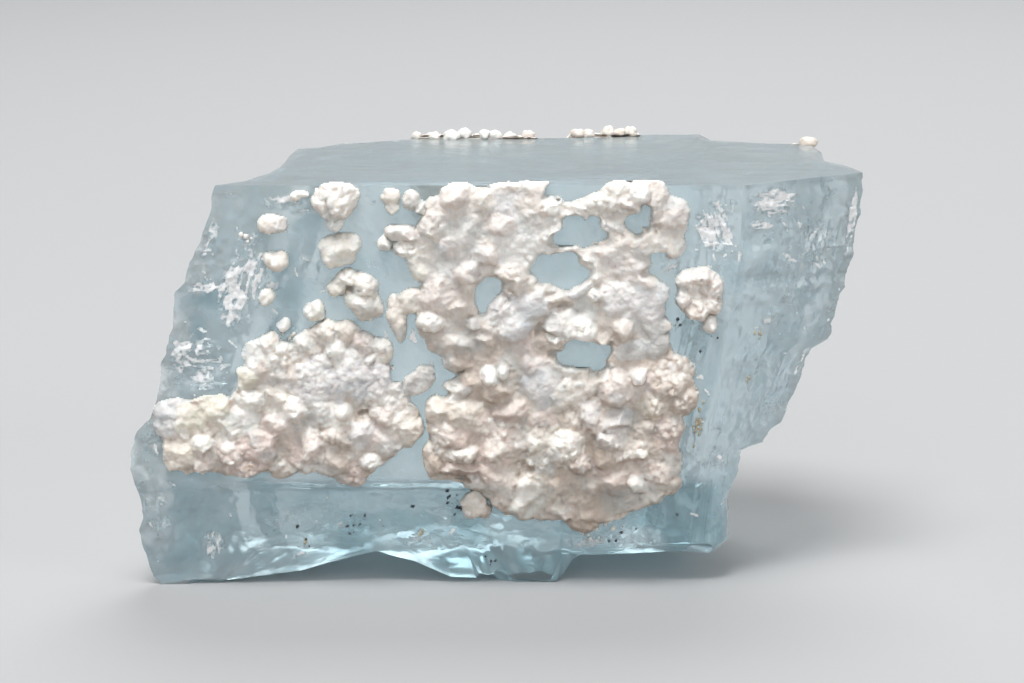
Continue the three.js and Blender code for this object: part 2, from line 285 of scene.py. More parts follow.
def all_four(kept: Array) -> Array:
    """Whether each cell of a grid has all four of its corners kept."""
    return kept[:-1, :-1] & kept[1:, :-1] & kept[:-1, 1:] & kept[1:, 1:]


def corners_of(cells: Array) -> Array:
    """Whether each point of a grid is a corner of a kept cell."""
    rows, columns = cells.shape
    kept = np.zeros((rows + 1, columns + 1), bool)
    for down in (0, 1):
        for right in (0, 1):
            kept[down : down + rows, right : right + columns] |= cells
    return kept


def solid_cells(over: Array, most_rounds: int = 12) -> Array:
    """Cells of a grid whose four corners are kept, with thin strips and corner contacts tidied.

    Args:
        over: Whether each point of the grid is kept.
        most_rounds: How often contacts at a corner are looked for and filled.

    Returns:
        Whether each cell is kept.
    """
    cells = all_four(over)
    cells[[0, -1], :] = False
    cells[:, [0, -1]] = False
    cells = corners_of(all_four(cells))
    for _ in range(most_rounds):
        a, b, c, d = cells[:-1, :-1], cells[:-1, 1:], cells[1:, :-1], cells[1:, 1:]
        falling = a & d & ~b & ~c
        rising = b & c & ~a & ~d
        if not (falling.any() or rising.any()):
            break
        cells[:-1, 1:] |= falling
        cells[:-1, :-1] |= rising
    return cells


def cell_quads(cells: Array) -> Array:
    """Quads of the kept cells of a grid, numbered by the grid's points, row by row."""
    rows, columns = np.nonzero(cells)
    width = cells.shape[1] + 1
    corner = rows * width + columns
    return np.stack([corner, corner + 1, corner + width + 1, corner + width], axis=1)


def thick_sheet(name: str, front: Array, back: Array, quads: Array) -> Object:
    """Closed sheet: a front, a back and a rim along every edge that only one quad has.

    Args:
        name: Name of the object.
        front: Points of the front, in metres.
        back: The points behind them.
        quads: Quads of the front, all turned the same way.

    Returns:
        The object.
    """
    used, renumbered = np.unique(quads, return_inverse=True)
    quads = renumbered.reshape(-1, 4)
    count = len(used)
    start, end = quads.ravel(), np.roll(quads, -1, axis=1).ravel()
    alone = ~np.isin(start * count + end, end * count + start)
    start, end = start[alone], end[alone]
    rim = np.stack([end, start, start + count, end + count], axis=1)
    points = np.concatenate([front[used], back[used]])
    return mesh_object(name, points, np.concatenate([quads, quads[:, ::-1] + count, rim]))


def shade(made: Object, sharp_degrees: float) -> None:
    """Shades a mesh smooth, with a crease wherever two faces meet at more than an angle."""
    made.data.polygons.foreach_set("use_smooth", np.ones(len(made.data.polygons), bool))
    made.data.set_sharp_from_angle(angle=math.radians(sharp_degrees))


def reshape(made: Object, change: Callable[[bmesh.types.BMesh], object]) -> None:
    """Changes a mesh by editing it, and turns all its faces outwards."""
    work = bmesh.new()
    work.from_mesh(made.data)
    change(work)
    bmesh.ops.recalc_face_normals(work, faces=work.faces)
    work.to_mesh(made.data)
    work.free()


def give_shares(made: Object, name: str, shares: Array) -> None:
    """Stores a number at each corner of a mesh, for its material."""
    layer = made.data.attributes.new(name, "FLOAT", "POINT")
    layer.data.foreach_set("value", shares.astype(np.float32))


def give_tones(made: Object, tones: Array) -> None:
    """Stores a colour, as light, at each corner of a mesh, for its material."""
    colours = np.ones((len(tones), 4))
    colours[:, :3] = tones
    layer = made.data.color_attributes.new("tone", "FLOAT_COLOR", "POINT")
    layer.data.foreach_set("color", colours.astype(np.float32).ravel())


def dress(made: Object, material: bpy.types.Material, node: str = "") -> Object:
    """Gives a piece its material and lets it ride on the body.

    Args:
        made: The piece.
        material: Its material.
        node: The node whose place it takes, if it takes one.

    Returns:
        The piece.
    """
    made.data.materials.append(material)
    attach(made, BODY)
    if node:
        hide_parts(node)
    return made


# Materials


class Recipe:
    """A material in the making: each method adds a node and gives the socket it puts out."""

    def __init__(self, name: str, plain: dict[str, object]) -> None:
        """Starts the material.

        Args:
            name: Its name.
            plain: Values that are the same all over, set on the shader's own sockets.
        """
        self.made = bpy.data.materials.new(name)
        self.made.use_nodes = True
        self.nodes = self.made.node_tree.nodes
        self.shader = self.nodes["Principled BSDF"]
        self.place = self.nodes.new("ShaderNodeTexCoord").outputs["Object"]
        self.fill(self.shader, plain)

    def fill(self, node: bpy.types.Node, sockets: dict[str | int, object]) -> None:
        """Joins each socket of a node that is given another's output, and sets the others."""
        for key, value in sockets.items():
            if isinstance(value, Socket):
                self.made.node_tree.links.new(value, node.inputs[key])
            else:
                node.inputs[key].default_value = value

    def add(self, kind: str, sockets: dict[str | int, object], **settings: object) -> bpy.types.Node:
        """Adds a node.

        Args:
            kind: Its type.
            sockets: What goes into it: another node's output, or a plain value.
            **settings: Its other properties.

        Returns:
            The node.
        """
        node = self.nodes.new(kind)
        for name, value in settings.items():
            setattr(node, name, value)
        self.fill(node, sockets)
        return node

    def noise(self, scale: float, detail: float, distortion: float = 0.0) -> Socket:
        """Noise over the object, with a scale in cells to the metre."""
        sockets = {"Vector": self.place, "Scale": scale, "Detail": detail, "Distortion": distortion}
        return self.add("ShaderNodeTexNoise", sockets).outputs["Fac"]

    def stored(self, name: str, output: str = "Fac") -> Socket:
        """What the mesh stores under a name."""
        return self.add("ShaderNodeAttribute", {}, attribute_name=name).outputs[output]

    def ramp(self, value: Socket, *stops: tuple[float, Colour]) -> Socket:
        """Colour that runs from one stop, a value and its colour, to the other."""
        node = self.add("ShaderNodeValToRGB", {"Fac": value})
        for element, (position, colour) in zip(node.color_ramp.elements, stops, strict=True):
            element.position = position
            element.color = colour
        return node.outputs["Color"]

    def between(
        self, value: Socket, source: tuple[float, float], target: tuple[float, float]
    ) -> Socket:
        """Value carried over from a source range to a target range, and held at its ends."""
        sockets = {"Value": value, "From Min": source[0], "From Max": source[1]}
        sockets |= {"To Min": target[0], "To Max": target[1]}
        return self.add("ShaderNodeMapRange", sockets).outputs["Result"]

    def blend(self, share: Socket, low: object, high: object) -> Socket:
        """Colour on the way from a low to a high one."""
        sockets = {"Factor": share, "A": low, "B": high}
        return self.add("ShaderNodeMix", sockets, data_type="RGBA").outputs["Result"]

    def worked_out(self, operation: str, *values: object, clamp: bool = False) -> Socket:
        """Result of an operation on numbers, held between 0 and 1 where clamp asks for it."""
        settings = {"operation": operation, "use_clamp": clamp}
        return self.add("ShaderNodeMath", dict(enumerate(values)), **settings).outputs["Value"]

    def bump(
        self, height: Socket, strength: float, distance: float, **under: Socket
    ) -> Socket:
        """Normal that a height bends, over another Normal if that is given."""
        sockets = {"Height": height, "Strength": strength, "Distance": distance, **under}
        return self.add("ShaderNodeBump", sockets).outputs["Normal"]

    def done(self, sockets: dict[str, object]) -> bpy.types.Material:
        """Fills the shader's other sockets and hands over the material."""
        self.fill(self.shader, sockets)
        return self.made


@dataclass(frozen=True)
class TopazFinish:
    """Clear, pale blue topaz: satin where it broke, smoother on the top cleavage face."""

    name: str = "topaz_clear"
    tint: Colour = (0.86, 0.935, 0.955, 1.0)
    cloud: Colour = (0.95, 0.98, 0.985, 1.0)
    frosted_and_glinting: Colour = (0.97, 0.985, 0.99, 1.0)
    # Deep blue: besides deeper pockets, it paints shade on the band below the ledge, the top face and the
    # underside.
    deep: Colour = (0.36, 0.51, 0.56, 1.0)
    refraction: float = 1.62
    clearness: float = 0.72
    satin: tuple[float, float] = (0.06, 0.24)
    frost_dulls: float = 0.12
    depth_tint: Colour = (0.30, 0.74, 0.86, 1.0)
    depth_density: float = 15.0

    def make(self) -> bpy.types.Material:
        """Builds the finish: cloudy base colour with painted shade and painted glints, roughness in
        patches, fine bump, and blue depth.

        Returns:
            The material.
        """
        recipe = Recipe(self.name, {"Transmission Weight": self.clearness, "IOR": self.refraction})
        frost_and_glint = recipe.stored("frost_and_glint")
        clouds = recipe.ramp(recipe.noise(160.0, 5.0, 0.6), (0.38, self.tint), (0.68, self.cloud))
        # Painted shade: the stored share darkens the band below the ledge, the top face and the underside
        # toward deep blue, besides deeper pockets and mottling.
        deepened_and_shaded = recipe.blend(recipe.stored("deep"), clouds, self.deep)
        satin = recipe.between(recipe.noise(420.0, 4.0), (0.3, 0.7), self.satin)
        grain = recipe.bump(recipe.noise(2600.0, 3.0), 0.18, 0.0001)
        bowls = recipe.add("ShaderNodeTexVoronoi", {"Vector": recipe.place, "Scale": 1300.0})
        chips = recipe.worked_out("MULTIPLY", bowls.outputs["Distance"], frost_and_glint)
        depth = {"Color": self.depth_tint, "Density": self.depth_density}
        volume = recipe.add("ShaderNodeVolumeAbsorption", depth).outputs["Volume"]
        recipe.fill(recipe.nodes["Material Output"], {"Volume": volume})
        return recipe.done(
            {
                # White where the share is high: frosting, and painted glints at the glint patches.
                "Base Color": recipe.blend(frost_and_glint, deepened_and_shaded, self.frosted_and_glinting),
                "Roughness": recipe.worked_out("MULTIPLY_ADD", frost_and_glint, self.frost_dulls, satin, clamp=True),
                "Normal": recipe.bump(chips, 0.6, 0.0003, Normal=grain),
            }
        )


@dataclass(frozen=True)
class FrostAndGlintFinish:
    """Frosting and painted glints of the torn skin: like the topaz where it is thin, white where it is
    dense.
    """

    name: str = "frost_and_glint_white"
    thin: Colour = (0.42, 0.53, 0.57, 1.0)
    dense: Colour = (1.0, 1.0, 1.0, 1.0)
    roughness: float = 0.16
    clearness: float = 0.18
    unevenness: float = 0.9

    def make(self) -> bpy.types.Material:
        """Builds the finish: the share of white comes from the sheet, made uneven by fine noise.

        Returns:
            The material.
        """
        recipe = Recipe(self.name, {"Roughness": self.roughness, "Transmission Weight": self.clearness})
        fibres = recipe.noise(3200.0, 2.0)
        uneven = recipe.worked_out("MULTIPLY_ADD", fibres, self.unevenness, recipe.stored("frost_and_glint"))
        colour = recipe.ramp(uneven, (0.45, self.thin), (1.0, self.dense))
        return recipe.done({"Base Color": colour, "Normal": recipe.bump(fibres, 0.4, 0.0001)})


@dataclass(frozen=True)
class MineralFinish:
    """Plain finish of a small mineral: two tones in noise, with a fine bump, clear or not."""

    name: str
    dark: Colour
    light: Colour
    roughness: float = 0.5
    clearness: float = 0.0

    def make(self) -> bpy.types.Material:
        """Builds the finish.

        Returns:
            The material.
        """
        recipe = Recipe(self.name, {"Roughness": self.roughness, "Transmission Weight": self.clearness})
        noise = recipe.noise(1500.0, 3.0)
        colour = recipe.ramp(noise, (0.35, self.dark), (0.65, self.light))
        return recipe.done({"Base Color": colour, "Normal": recipe.bump(noise, 0.3, 0.0001)})


@dataclass(frozen=True)
class AlbiteFinish:
    """Waxy albite: colour from each grain, a little light under the skin, and sugary bump."""

    name: str = "albite_waxy"
    roughness: tuple[float, float] = (0.36, 0.7)
    mottling: tuple[float, float] = (0.9, 1.08)
    under_skin: float = 0.4
    skin_depth: float = 0.0009
    skin_reach: tuple[float, float, float] = (1.0, 0.75, 0.6)
    refraction: float = 1.53

    def make(self) -> bpy.types.Material:
        """Builds the finish from the grains' own colour, mottled by noise, with a fine bump.

        Returns:
            The material.
        """
        plain = {"Subsurface Weight": self.under_skin, "Subsurface Radius": self.skin_reach}
        plain |= {"Subsurface Scale": self.skin_depth, "IOR": self.refraction}
        recipe = Recipe(self.name, plain)
        mottle = recipe.noise(900.0, 4.0)
        shades = recipe.between(mottle, (0.3, 0.7), self.mottling)
        toned = {0: recipe.stored("tone", "Color"), "Scale": shades}
        colour = recipe.add("ShaderNodeVectorMath", toned, operation="SCALE").outputs["Vector"]
        return recipe.done(
            {
                "Base Color": colour,
                "Roughness": recipe.between(mottle, (0.35, 0.65), self.roughness),
                "Normal": recipe.bump(recipe.noise(4200.0, 3.0), 0.55, 0.00015),
            }
        )


# The topaz


@dataclass(frozen=True)
class CrystalOutline:
    """Outlines of the broken topaz, in millimetres, read from its photographed front.

    The plan is the top cleavage face, anticlockwise from the front left corner. Each broken edge gives
    the x of an edge at a height, and the rim the height of the front's lower edge at an x.
    """

    top_z: float = 34.8
    front_y: float = -15.3
    front_left: float = -23.9
    front_right: float = 20.6
    right_corner: tuple[float, float] = (31.4, -7.7)
    back_peak: tuple[float, float] = (18.6, 17.2)
    back_lean: float = 2.5
    belly_z: float = 2.2
    back_rim_z: float = 1.6
    ledge_z: float = 9.4
    hollow: float = 1.1
    foot_radius: float = 4.5
    foot_burial: float = 0.5
    belly_middle: tuple[float, float] = (-5.0, 0.0)
    plan: Points = (
        (-23.9, -15.3), (20.6, -15.3), (31.4, -7.7), (30.4, -3.6), (28.6, -0.4), (28.9, 4.8),
        (28.3, 10.3), (23.8, 11.0), (19.4, 12.8), (18.6, 17.2), (12.8, 16.8), (9.0, 15.0), (4.8, 14.4),
        (-6.7, 14.4), (-10.5, 12.4), (-14.2, 11.0), (-16.4, 8.2), (-18.2, 7.4), (-18.7, 3.4),
        (-18.9, -0.2), (-19.1, -4.4), (-19.9, -8.2), (-20.8, -10.2), (-21.5, -12.6), (-23.2, -14.6),
    )
    left_edge: Points = (
        (0.0, -29.0), (0.7, -29.9), (3.0, -30.5), (4.8, -31.0), (5.9, -30.5), (6.7, -30.6),
        (9.2, -31.2), (10.3, -31.6), (12.0, -31.6), (13.6, -31.0), (14.6, -29.9), (16.0, -29.2),
        (19.5, -28.9), (20.3, -28.3), (21.6, -28.0), (22.7, -27.7), (25.6, -27.6), (26.3, -26.9),
        (28.2, -26.2), (31.4, -24.8), (32.9, -24.3), (33.7, -24.3), (34.4, -24.1), (34.8, -23.9),
    )
    middle_edge: Points = (
        (0.0, 15.8), (8.0, 16.8), (16.0, 18.3), (28.0, 20.3), (34.8, 20.6),
    )
    right_edge: Points = (
        (0.0, 16.9), (2.2, 17.7), (3.6, 19.6), (7.0, 19.7), (9.8, 20.5), (11.4, 20.6), (11.8, 22.4),
        (12.7, 23.0), (13.4, 24.3), (15.3, 25.3), (17.4, 26.0), (19.6, 27.1), (20.2, 28.6),
        (21.9, 29.0), (24.1, 29.8), (27.2, 30.5), (30.7, 31.3), (33.2, 31.7), (34.8, 31.4),
    )
    front_rim: Points = (
        (-29.5, 0.0), (-28.4, 0.0), (-27.2, 0.4), (-24.0, 0.3), (-20.2, 0.7), (-17.0, 1.1),
        (-14.6, 1.8), (-12.6, 2.3), (-10.5, 2.8), (-9.4, 2.4), (-7.2, 1.8), (-5.4, 1.0), (-4.3, 0.5),
        (-2.1, 0.4), (-1.8, 0.8), (-0.9, 0.6), (-0.2, 1.2), (0.6, 1.0), (1.3, 0.2), (4.9, 0.1),
        (5.2, 0.8), (5.3, 2.6), (8.0, 2.4), (12.4, 2.6), (15.8, 2.8), (16.3, 3.4), (17.8, 4.0),
    )
    feet: Points = (
        (-26.5, -12.0), (2.6, -12.0), (11.5, 8.5), (-19.0, 6.5),
    )

    def hollow_at(self, x: Array, z: Array) -> Array:
        """Depth of the hollow below the front's ledge, least at the left foot.

        The depth rises smoothly over 1.4 mm under the ledge and from 0.35 to 1 of the hollow's depth
        from the left foot inwards.

        Args:
            x: Places along the face.
            z: Heights.

        Returns:
            Depth in millimetres.
        """
        below = 1.0 - smooth(z, self.ledge_z - 1.4, self.ledge_z)
        return self.hollow * below * mix(0.35, 1.0, smooth(x, -28.0, -16.0))

    def edges(self, z: Array) -> tuple[Array, Array, Array]:
        """X of the left edge, of the front's right edge and of the facet's right edge at heights."""
        return along(self.left_edge, z), along(self.middle_edge, z), along(self.right_edge, z)

    def column(self, plan: Array, z: Array) -> Array:
        """Where the column under each plan point is at each height.

        Left of the front right edge, x keeps its share of the way between the left and middle edges;
        right of it, its share between the middle and right edges, and the facet's depth narrows with
        it. The back leans in under the top face, and the front is hollowed below its ledge.

        Args:
            plan: Plan points of the top face, the last axis x and y.
            z: Heights, of a shape that matches plan without its last axis.

        Returns:
            Points x, y at those heights.
        """
        top_x, top_y = plan[..., 0], plan[..., 1]
        left, middle, right = self.edges(z)
        top_facet = self.right_corner[0] - self.front_right
        share = (top_x - self.front_left) / (self.front_right - self.front_left)
        on_front = mix(left, middle, share)
        on_side = mix(middle, right, (top_x - self.front_right) / top_facet)
        side = top_x > self.front_right
        narrowed = (right - middle) / top_facet
        depth = top_y - self.front_y
        facet = self.right_corner[1] - self.front_y
        behind = self.back_peak[1] - self.right_corner[1]
        past = np.maximum(depth - facet, 0.0) * (1.0 + (1.0 - narrowed) * facet / behind)
        turned = np.where(side, np.minimum(depth, facet) * narrowed + past, depth)
        turned = turned - self.back_lean * smooth(depth, 14.0, 26.0) * (1.0 - z / self.top_z)
        x = np.where(side, on_side, on_front)
        at_front = 1.0 - smooth(depth, 0.0, 4.0)
        return spread(x, self.front_y + turned + self.hollow_at(x, z) * at_front)

    def front_at(self, x: Array, z: Array) -> Array:
        """Y of the plain front, or of the facet right of it, at places x and z."""
        left, middle, right = self.edges(z)
        facet = np.clip((x - middle) / (right - middle), 0.0, 1.0)
        top_x = np.where(x > middle, mix(self.front_right, self.right_corner[0], facet), 0.0)
        share = np.clip((x - left) / (middle - left), 0.0, 1.0)
        top_x = np.where(x > middle, top_x, mix(self.front_left, self.front_right, share))
        top_y = mix(self.front_y, self.right_corner[1], facet)
        return self.column(spread(top_x, top_y), z)[..., 1]

    def across_at(self, x: Array, z: Array) -> Array:
        """Distance along the top's outline of the column through places of the front or its facet."""
        left, middle, right = self.edges(z)
        front = self.front_right - self.front_left
        facet = math.hypot(self.right_corner[0] - self.front_right, self.right_corner[1] - self.front_y)
        on_front = np.clip((x - left) / (middle - left), 0.0, 1.0) * front
        return on_front + np.clip((x - middle) / (right - middle), 0.0, 1.0) * facet

    def rim(self, plan: Array) -> Array:
        """Height of the lower rim under each plan point; the front's runs into the back's."""
        at = self.column(plan, np.full(plan.shape[:-1], self.belly_z))
        behind = smooth(plan[..., 1] - self.front_y, 2.0, 12.0)
        return mix(along(self.front_rim, at[..., 0]), self.back_rim_z, behind)

    def underside(self, x: Array, y: Array, rim: Array, inward: Array) -> Array:
        """Height of the underside: a shallow belly that dips at each foot and is flat on the floor.

        Args:
            x: Places across.
            y: Places in depth.
            rim: Height of the rim on the same ring ray.
            inward: Share of the way in from the rim to the belly's middle.

        Returns:
            Heights, none below the floor.
        """
        belly = mix(rim, self.belly_z, smooth(inward, 0.0, 0.4))
        belly = belly + 0.35 * fractal(spread(x / 6.0, y / 6.0, 0.0), 71) * smooth(inward, 0.02, 0.2)
        nearest = np.min([np.hypot(x - fx, y - fy) for fx, fy in self.feet], axis=0)
        foot = 1.0 - smooth(nearest, self.foot_radius / 2.0, self.foot_radius)
        return np.maximum(mix(belly, -self.foot_burial, foot), 0.0)


@dataclass(frozen=True)
class Patch:
    """A patch on the front of the topaz, in millimetres: its middle, its half sizes and its strength."""

    x: float
    z: float
    half_width: float
    half_height: float
    strength: float = 1.0
    turn: float = 0.0

    def share(self, x: Array, z: Array) -> Array:
        """Strength of the patch at each place: a bell over the turned ellipse of its half sizes."""
        u, v = turned(x - self.x, z - self.z, math.radians(self.turn))
        u, v = u / self.half_width, v / self.half_height
        return self.strength * np.exp(-((u * u + v * v) ** 1.5))

    def places(self, rng: np.random.Generator, count: int) -> Array:
        """Random places in the patch, thinning outwards, as x and z."""
        angle = math.radians(self.turn)
        u, v = rng.normal(0.0, 0.5, (2, count))
        u, v = u * self.half_width, v * self.half_height
        x = self.x + u * math.cos(angle) - v * math.sin(angle)
        z = self.z + u * math.sin(angle) + v * math.cos(angle)
        return np.stack([x, z], axis=1)


def patches(*rows: tuple[float, ...]) -> tuple[Patch, ...]:
    """Patches from rows of their numbers, in the order of the fields."""
    return tuple(Patch(*row) for row in rows)


def strongest(among: tuple[Patch, ...], x: Array, z: Array) -> Array:
    """Strength at each place of the patch that is strongest there."""
    return np.maximum.reduce([patch.share(x, z) for patch in among])


# Patches of frosting on the front, in x, z, half width, half height, strength and turn. The rows at (-18.0,
# 33.4), (23.4, 33.0), (22.2, 31.1) and (23.0, 22.7) are painted highlights: glints where a facet reflects a
# lamp.
FROST_AND_GLINTS = patches(
    (-21.7, 26.6, 2.0, 3.4, 1.0, -18), (-22.8, 23.6, 1.2, 0.9, 0.8, 40),
    (-24.9, 26.0, 1.7, 0.5, 0.9, 12), (-18.9, 26.7, 1.2, 0.9, 0.5), (-25.4, 19.4, 3.2, 2.6, 0.6),
    (-27.0, 20.6, 1.3, 0.5, 0.9, 40), (-18.0, 33.4, 1.7, 0.45, 1.0, 2), (-16.4, 32.5, 1.3, 0.16, 0.8),
    (-23.0, 34.0, 1.0, 0.2, 0.7), (-16.1, 28.5, 0.9, 0.2, 0.9, -10), (-21.0, 30.6, 2.4, 1.0, 0.35, 20),
    (-10.6, 33.6, 1.2, 1.0, 0.35), (18.4, 30.8, 1.7, 2.2, 1.0, 20), (14.6, 28.1, 1.0, 1.0, 0.7, 30),
    (19.0, 33.2, 1.6, 0.9, 0.5), (23.4, 33.0, 2.1, 1.1, 1.4, -6), (22.2, 31.1, 1.0, 0.45, 1.2),
    (23.0, 22.7, 0.5, 0.35, 0.9), (27.6, 29.4, 2.2, 3.4, 0.4, -12), (25.2, 24.0, 2.4, 2.2, 0.35, 20),
    (21.6, 19.0, 1.6, 2.6, 0.3, 10), (18.6, 12.0, 1.2, 3.0, 0.35, -8), (-24.8, 3.3, 1.0, 1.5, 0.7),
    (-18.0, 5.6, 3.4, 1.0, 0.3, 10), (-6.0, 3.6, 4.0, 0.9, 0.35, -6), (8.0, 3.6, 4.4, 0.7, 0.4, 3),
    (-29.2, 6.6, 1.2, 3.4, 0.4, 6), (-6.4, 18.2, 1.4, 2.6, 0.3), (30.4, 30.6, 0.5, 3.0, 0.8, -6),
    (29.1, 23.4, 0.5, 2.2, 0.7, -26), (26.2, 18.4, 0.5, 1.8, 0.7, -38),
    (23.4, 14.0, 0.6, 1.6, 0.6, -44), (-24.6, 30.2, 0.7, 2.2, 0.6, -22),
    (-27.6, 22.6, 0.5, 1.6, 0.6, -8),
)
# Fields of painted glints, in x, z, half width, half height and how many: short white breaks that stand for
# the sparkle of small fractures.
GLINT_FIELDS = patches(
    (-21.5, 29.0, 5.5, 6.0, 90), (-25.5, 19.5, 3.5, 4.5, 66), (24.0, 29.5, 5.5, 5.5, 36),
    (18.6, 29.0, 2.2, 4.5, 24), (24.0, 21.0, 4.5, 5.0, 16), (-12.0, 4.6, 14.0, 3.4, 30),
    (18.0, 14.0, 2.6, 8.0, 20), (-8.2, 21.0, 2.6, 8.0, 22), (-29.3, 9.0, 1.6, 5.0, 20),
)
CLOUDS = patches(
    (-20.0, 28.0, 5.0, 6.0), (-24.0, 20.0, 4.0, 4.0), (-8.0, 20.0, 3.0, 9.0), (-4.0, 30.0, 8.0, 4.0),
    (19.0, 27.0, 3.0, 6.0), (26.0, 28.0, 4.0, 5.0), (22.0, 18.0, 3.0, 6.0), (17.5, 9.0, 2.0, 5.0),
    (-22.0, 4.5, 6.0, 3.0), (-8.0, 4.5, 8.0, 2.5), (8.0, 4.0, 7.0, 1.6),
)
POCKETS = patches(
    (-24.5, 24.9, 2.2, 1.0, 0.9), (-26.0, 21.7, 0.8, 1.8, 0.8), (-12.0, 5.0, 2.6, 1.6, 1.0),
    (-0.8, 1.9, 0.7, 0.8, 1.0), (23.6, 27.3, 1.7, 1.4, 0.55), (26.9, 28.2, 1.5, 1.2, 0.45),
    (28.2, 26.2, 1.2, 1.7, 0.55), (26.4, 24.6, 1.4, 1.2, 0.5), (19.8, 26.4, 1.0, 3.4, 0.4),
    (16.2, 21.6, 1.4, 2.4, 0.35), (-12.2, 27.0, 5.0, 2.0, 0.25, 10), (-18.8, 21.6, 2.4, 1.4, 0.3),
    (-16.6, 25.8, 2.6, 2.0, 0.3),
)
SPECKS = patches(
    (-4.0, 7.9, 0.7, 0.6, 8), (-3.6, 6.6, 1.6, 0.5, 9), (-7.3, 6.7, 0.5, 0.3, 3),
    (14.3, 22.5, 0.3, 0.9, 9), (15.1, 22.9, 0.4, 0.4, 4), (17.8, 23.4, 0.3, 0.3, 2),
    (18.2, 21.7, 0.3, 0.3, 2), (17.1, 20.6, 0.2, 0.3, 2), (14.6, 14.1, 0.2, 0.3, 2),
    (15.2, 6.1, 0.2, 0.2, 2), (-12.0, 5.2, 2.4, 1.3, 12), (-0.8, 1.9, 0.6, 0.6, 5),
    (-18.6, 4.0, 3.0, 1.4, 7), (10.0, 4.2, 4.0, 0.9, 7),
)
STAINS = patches(
    (17.0, 14.1, 0.35, 1.3, 26, -14), (22.2, 21.5, 0.6, 0.8, 5), (-6.7, 4.4, 0.25, 0.25, 6),
    (-16.7, 3.6, 0.25, 0.25, 6), (21.2, 17.9, 0.2, 0.3, 4),
)
SPRINKLES = patches(
    (8.6, 5.2, 0.5, 0.5, 5), (10.0, 5.1, 0.7, 0.8, 4), (7.3, 4.1, 0.8, 0.4, 3),
    (-21.4, 30.3, 0.4, 0.3, 4), (-15.4, 34.4, 0.3, 0.2, 3), (-17.6, 21.8, 0.6, 0.5, 5),
    (-2.0, 34.3, 0.5, 0.3, 3),
)


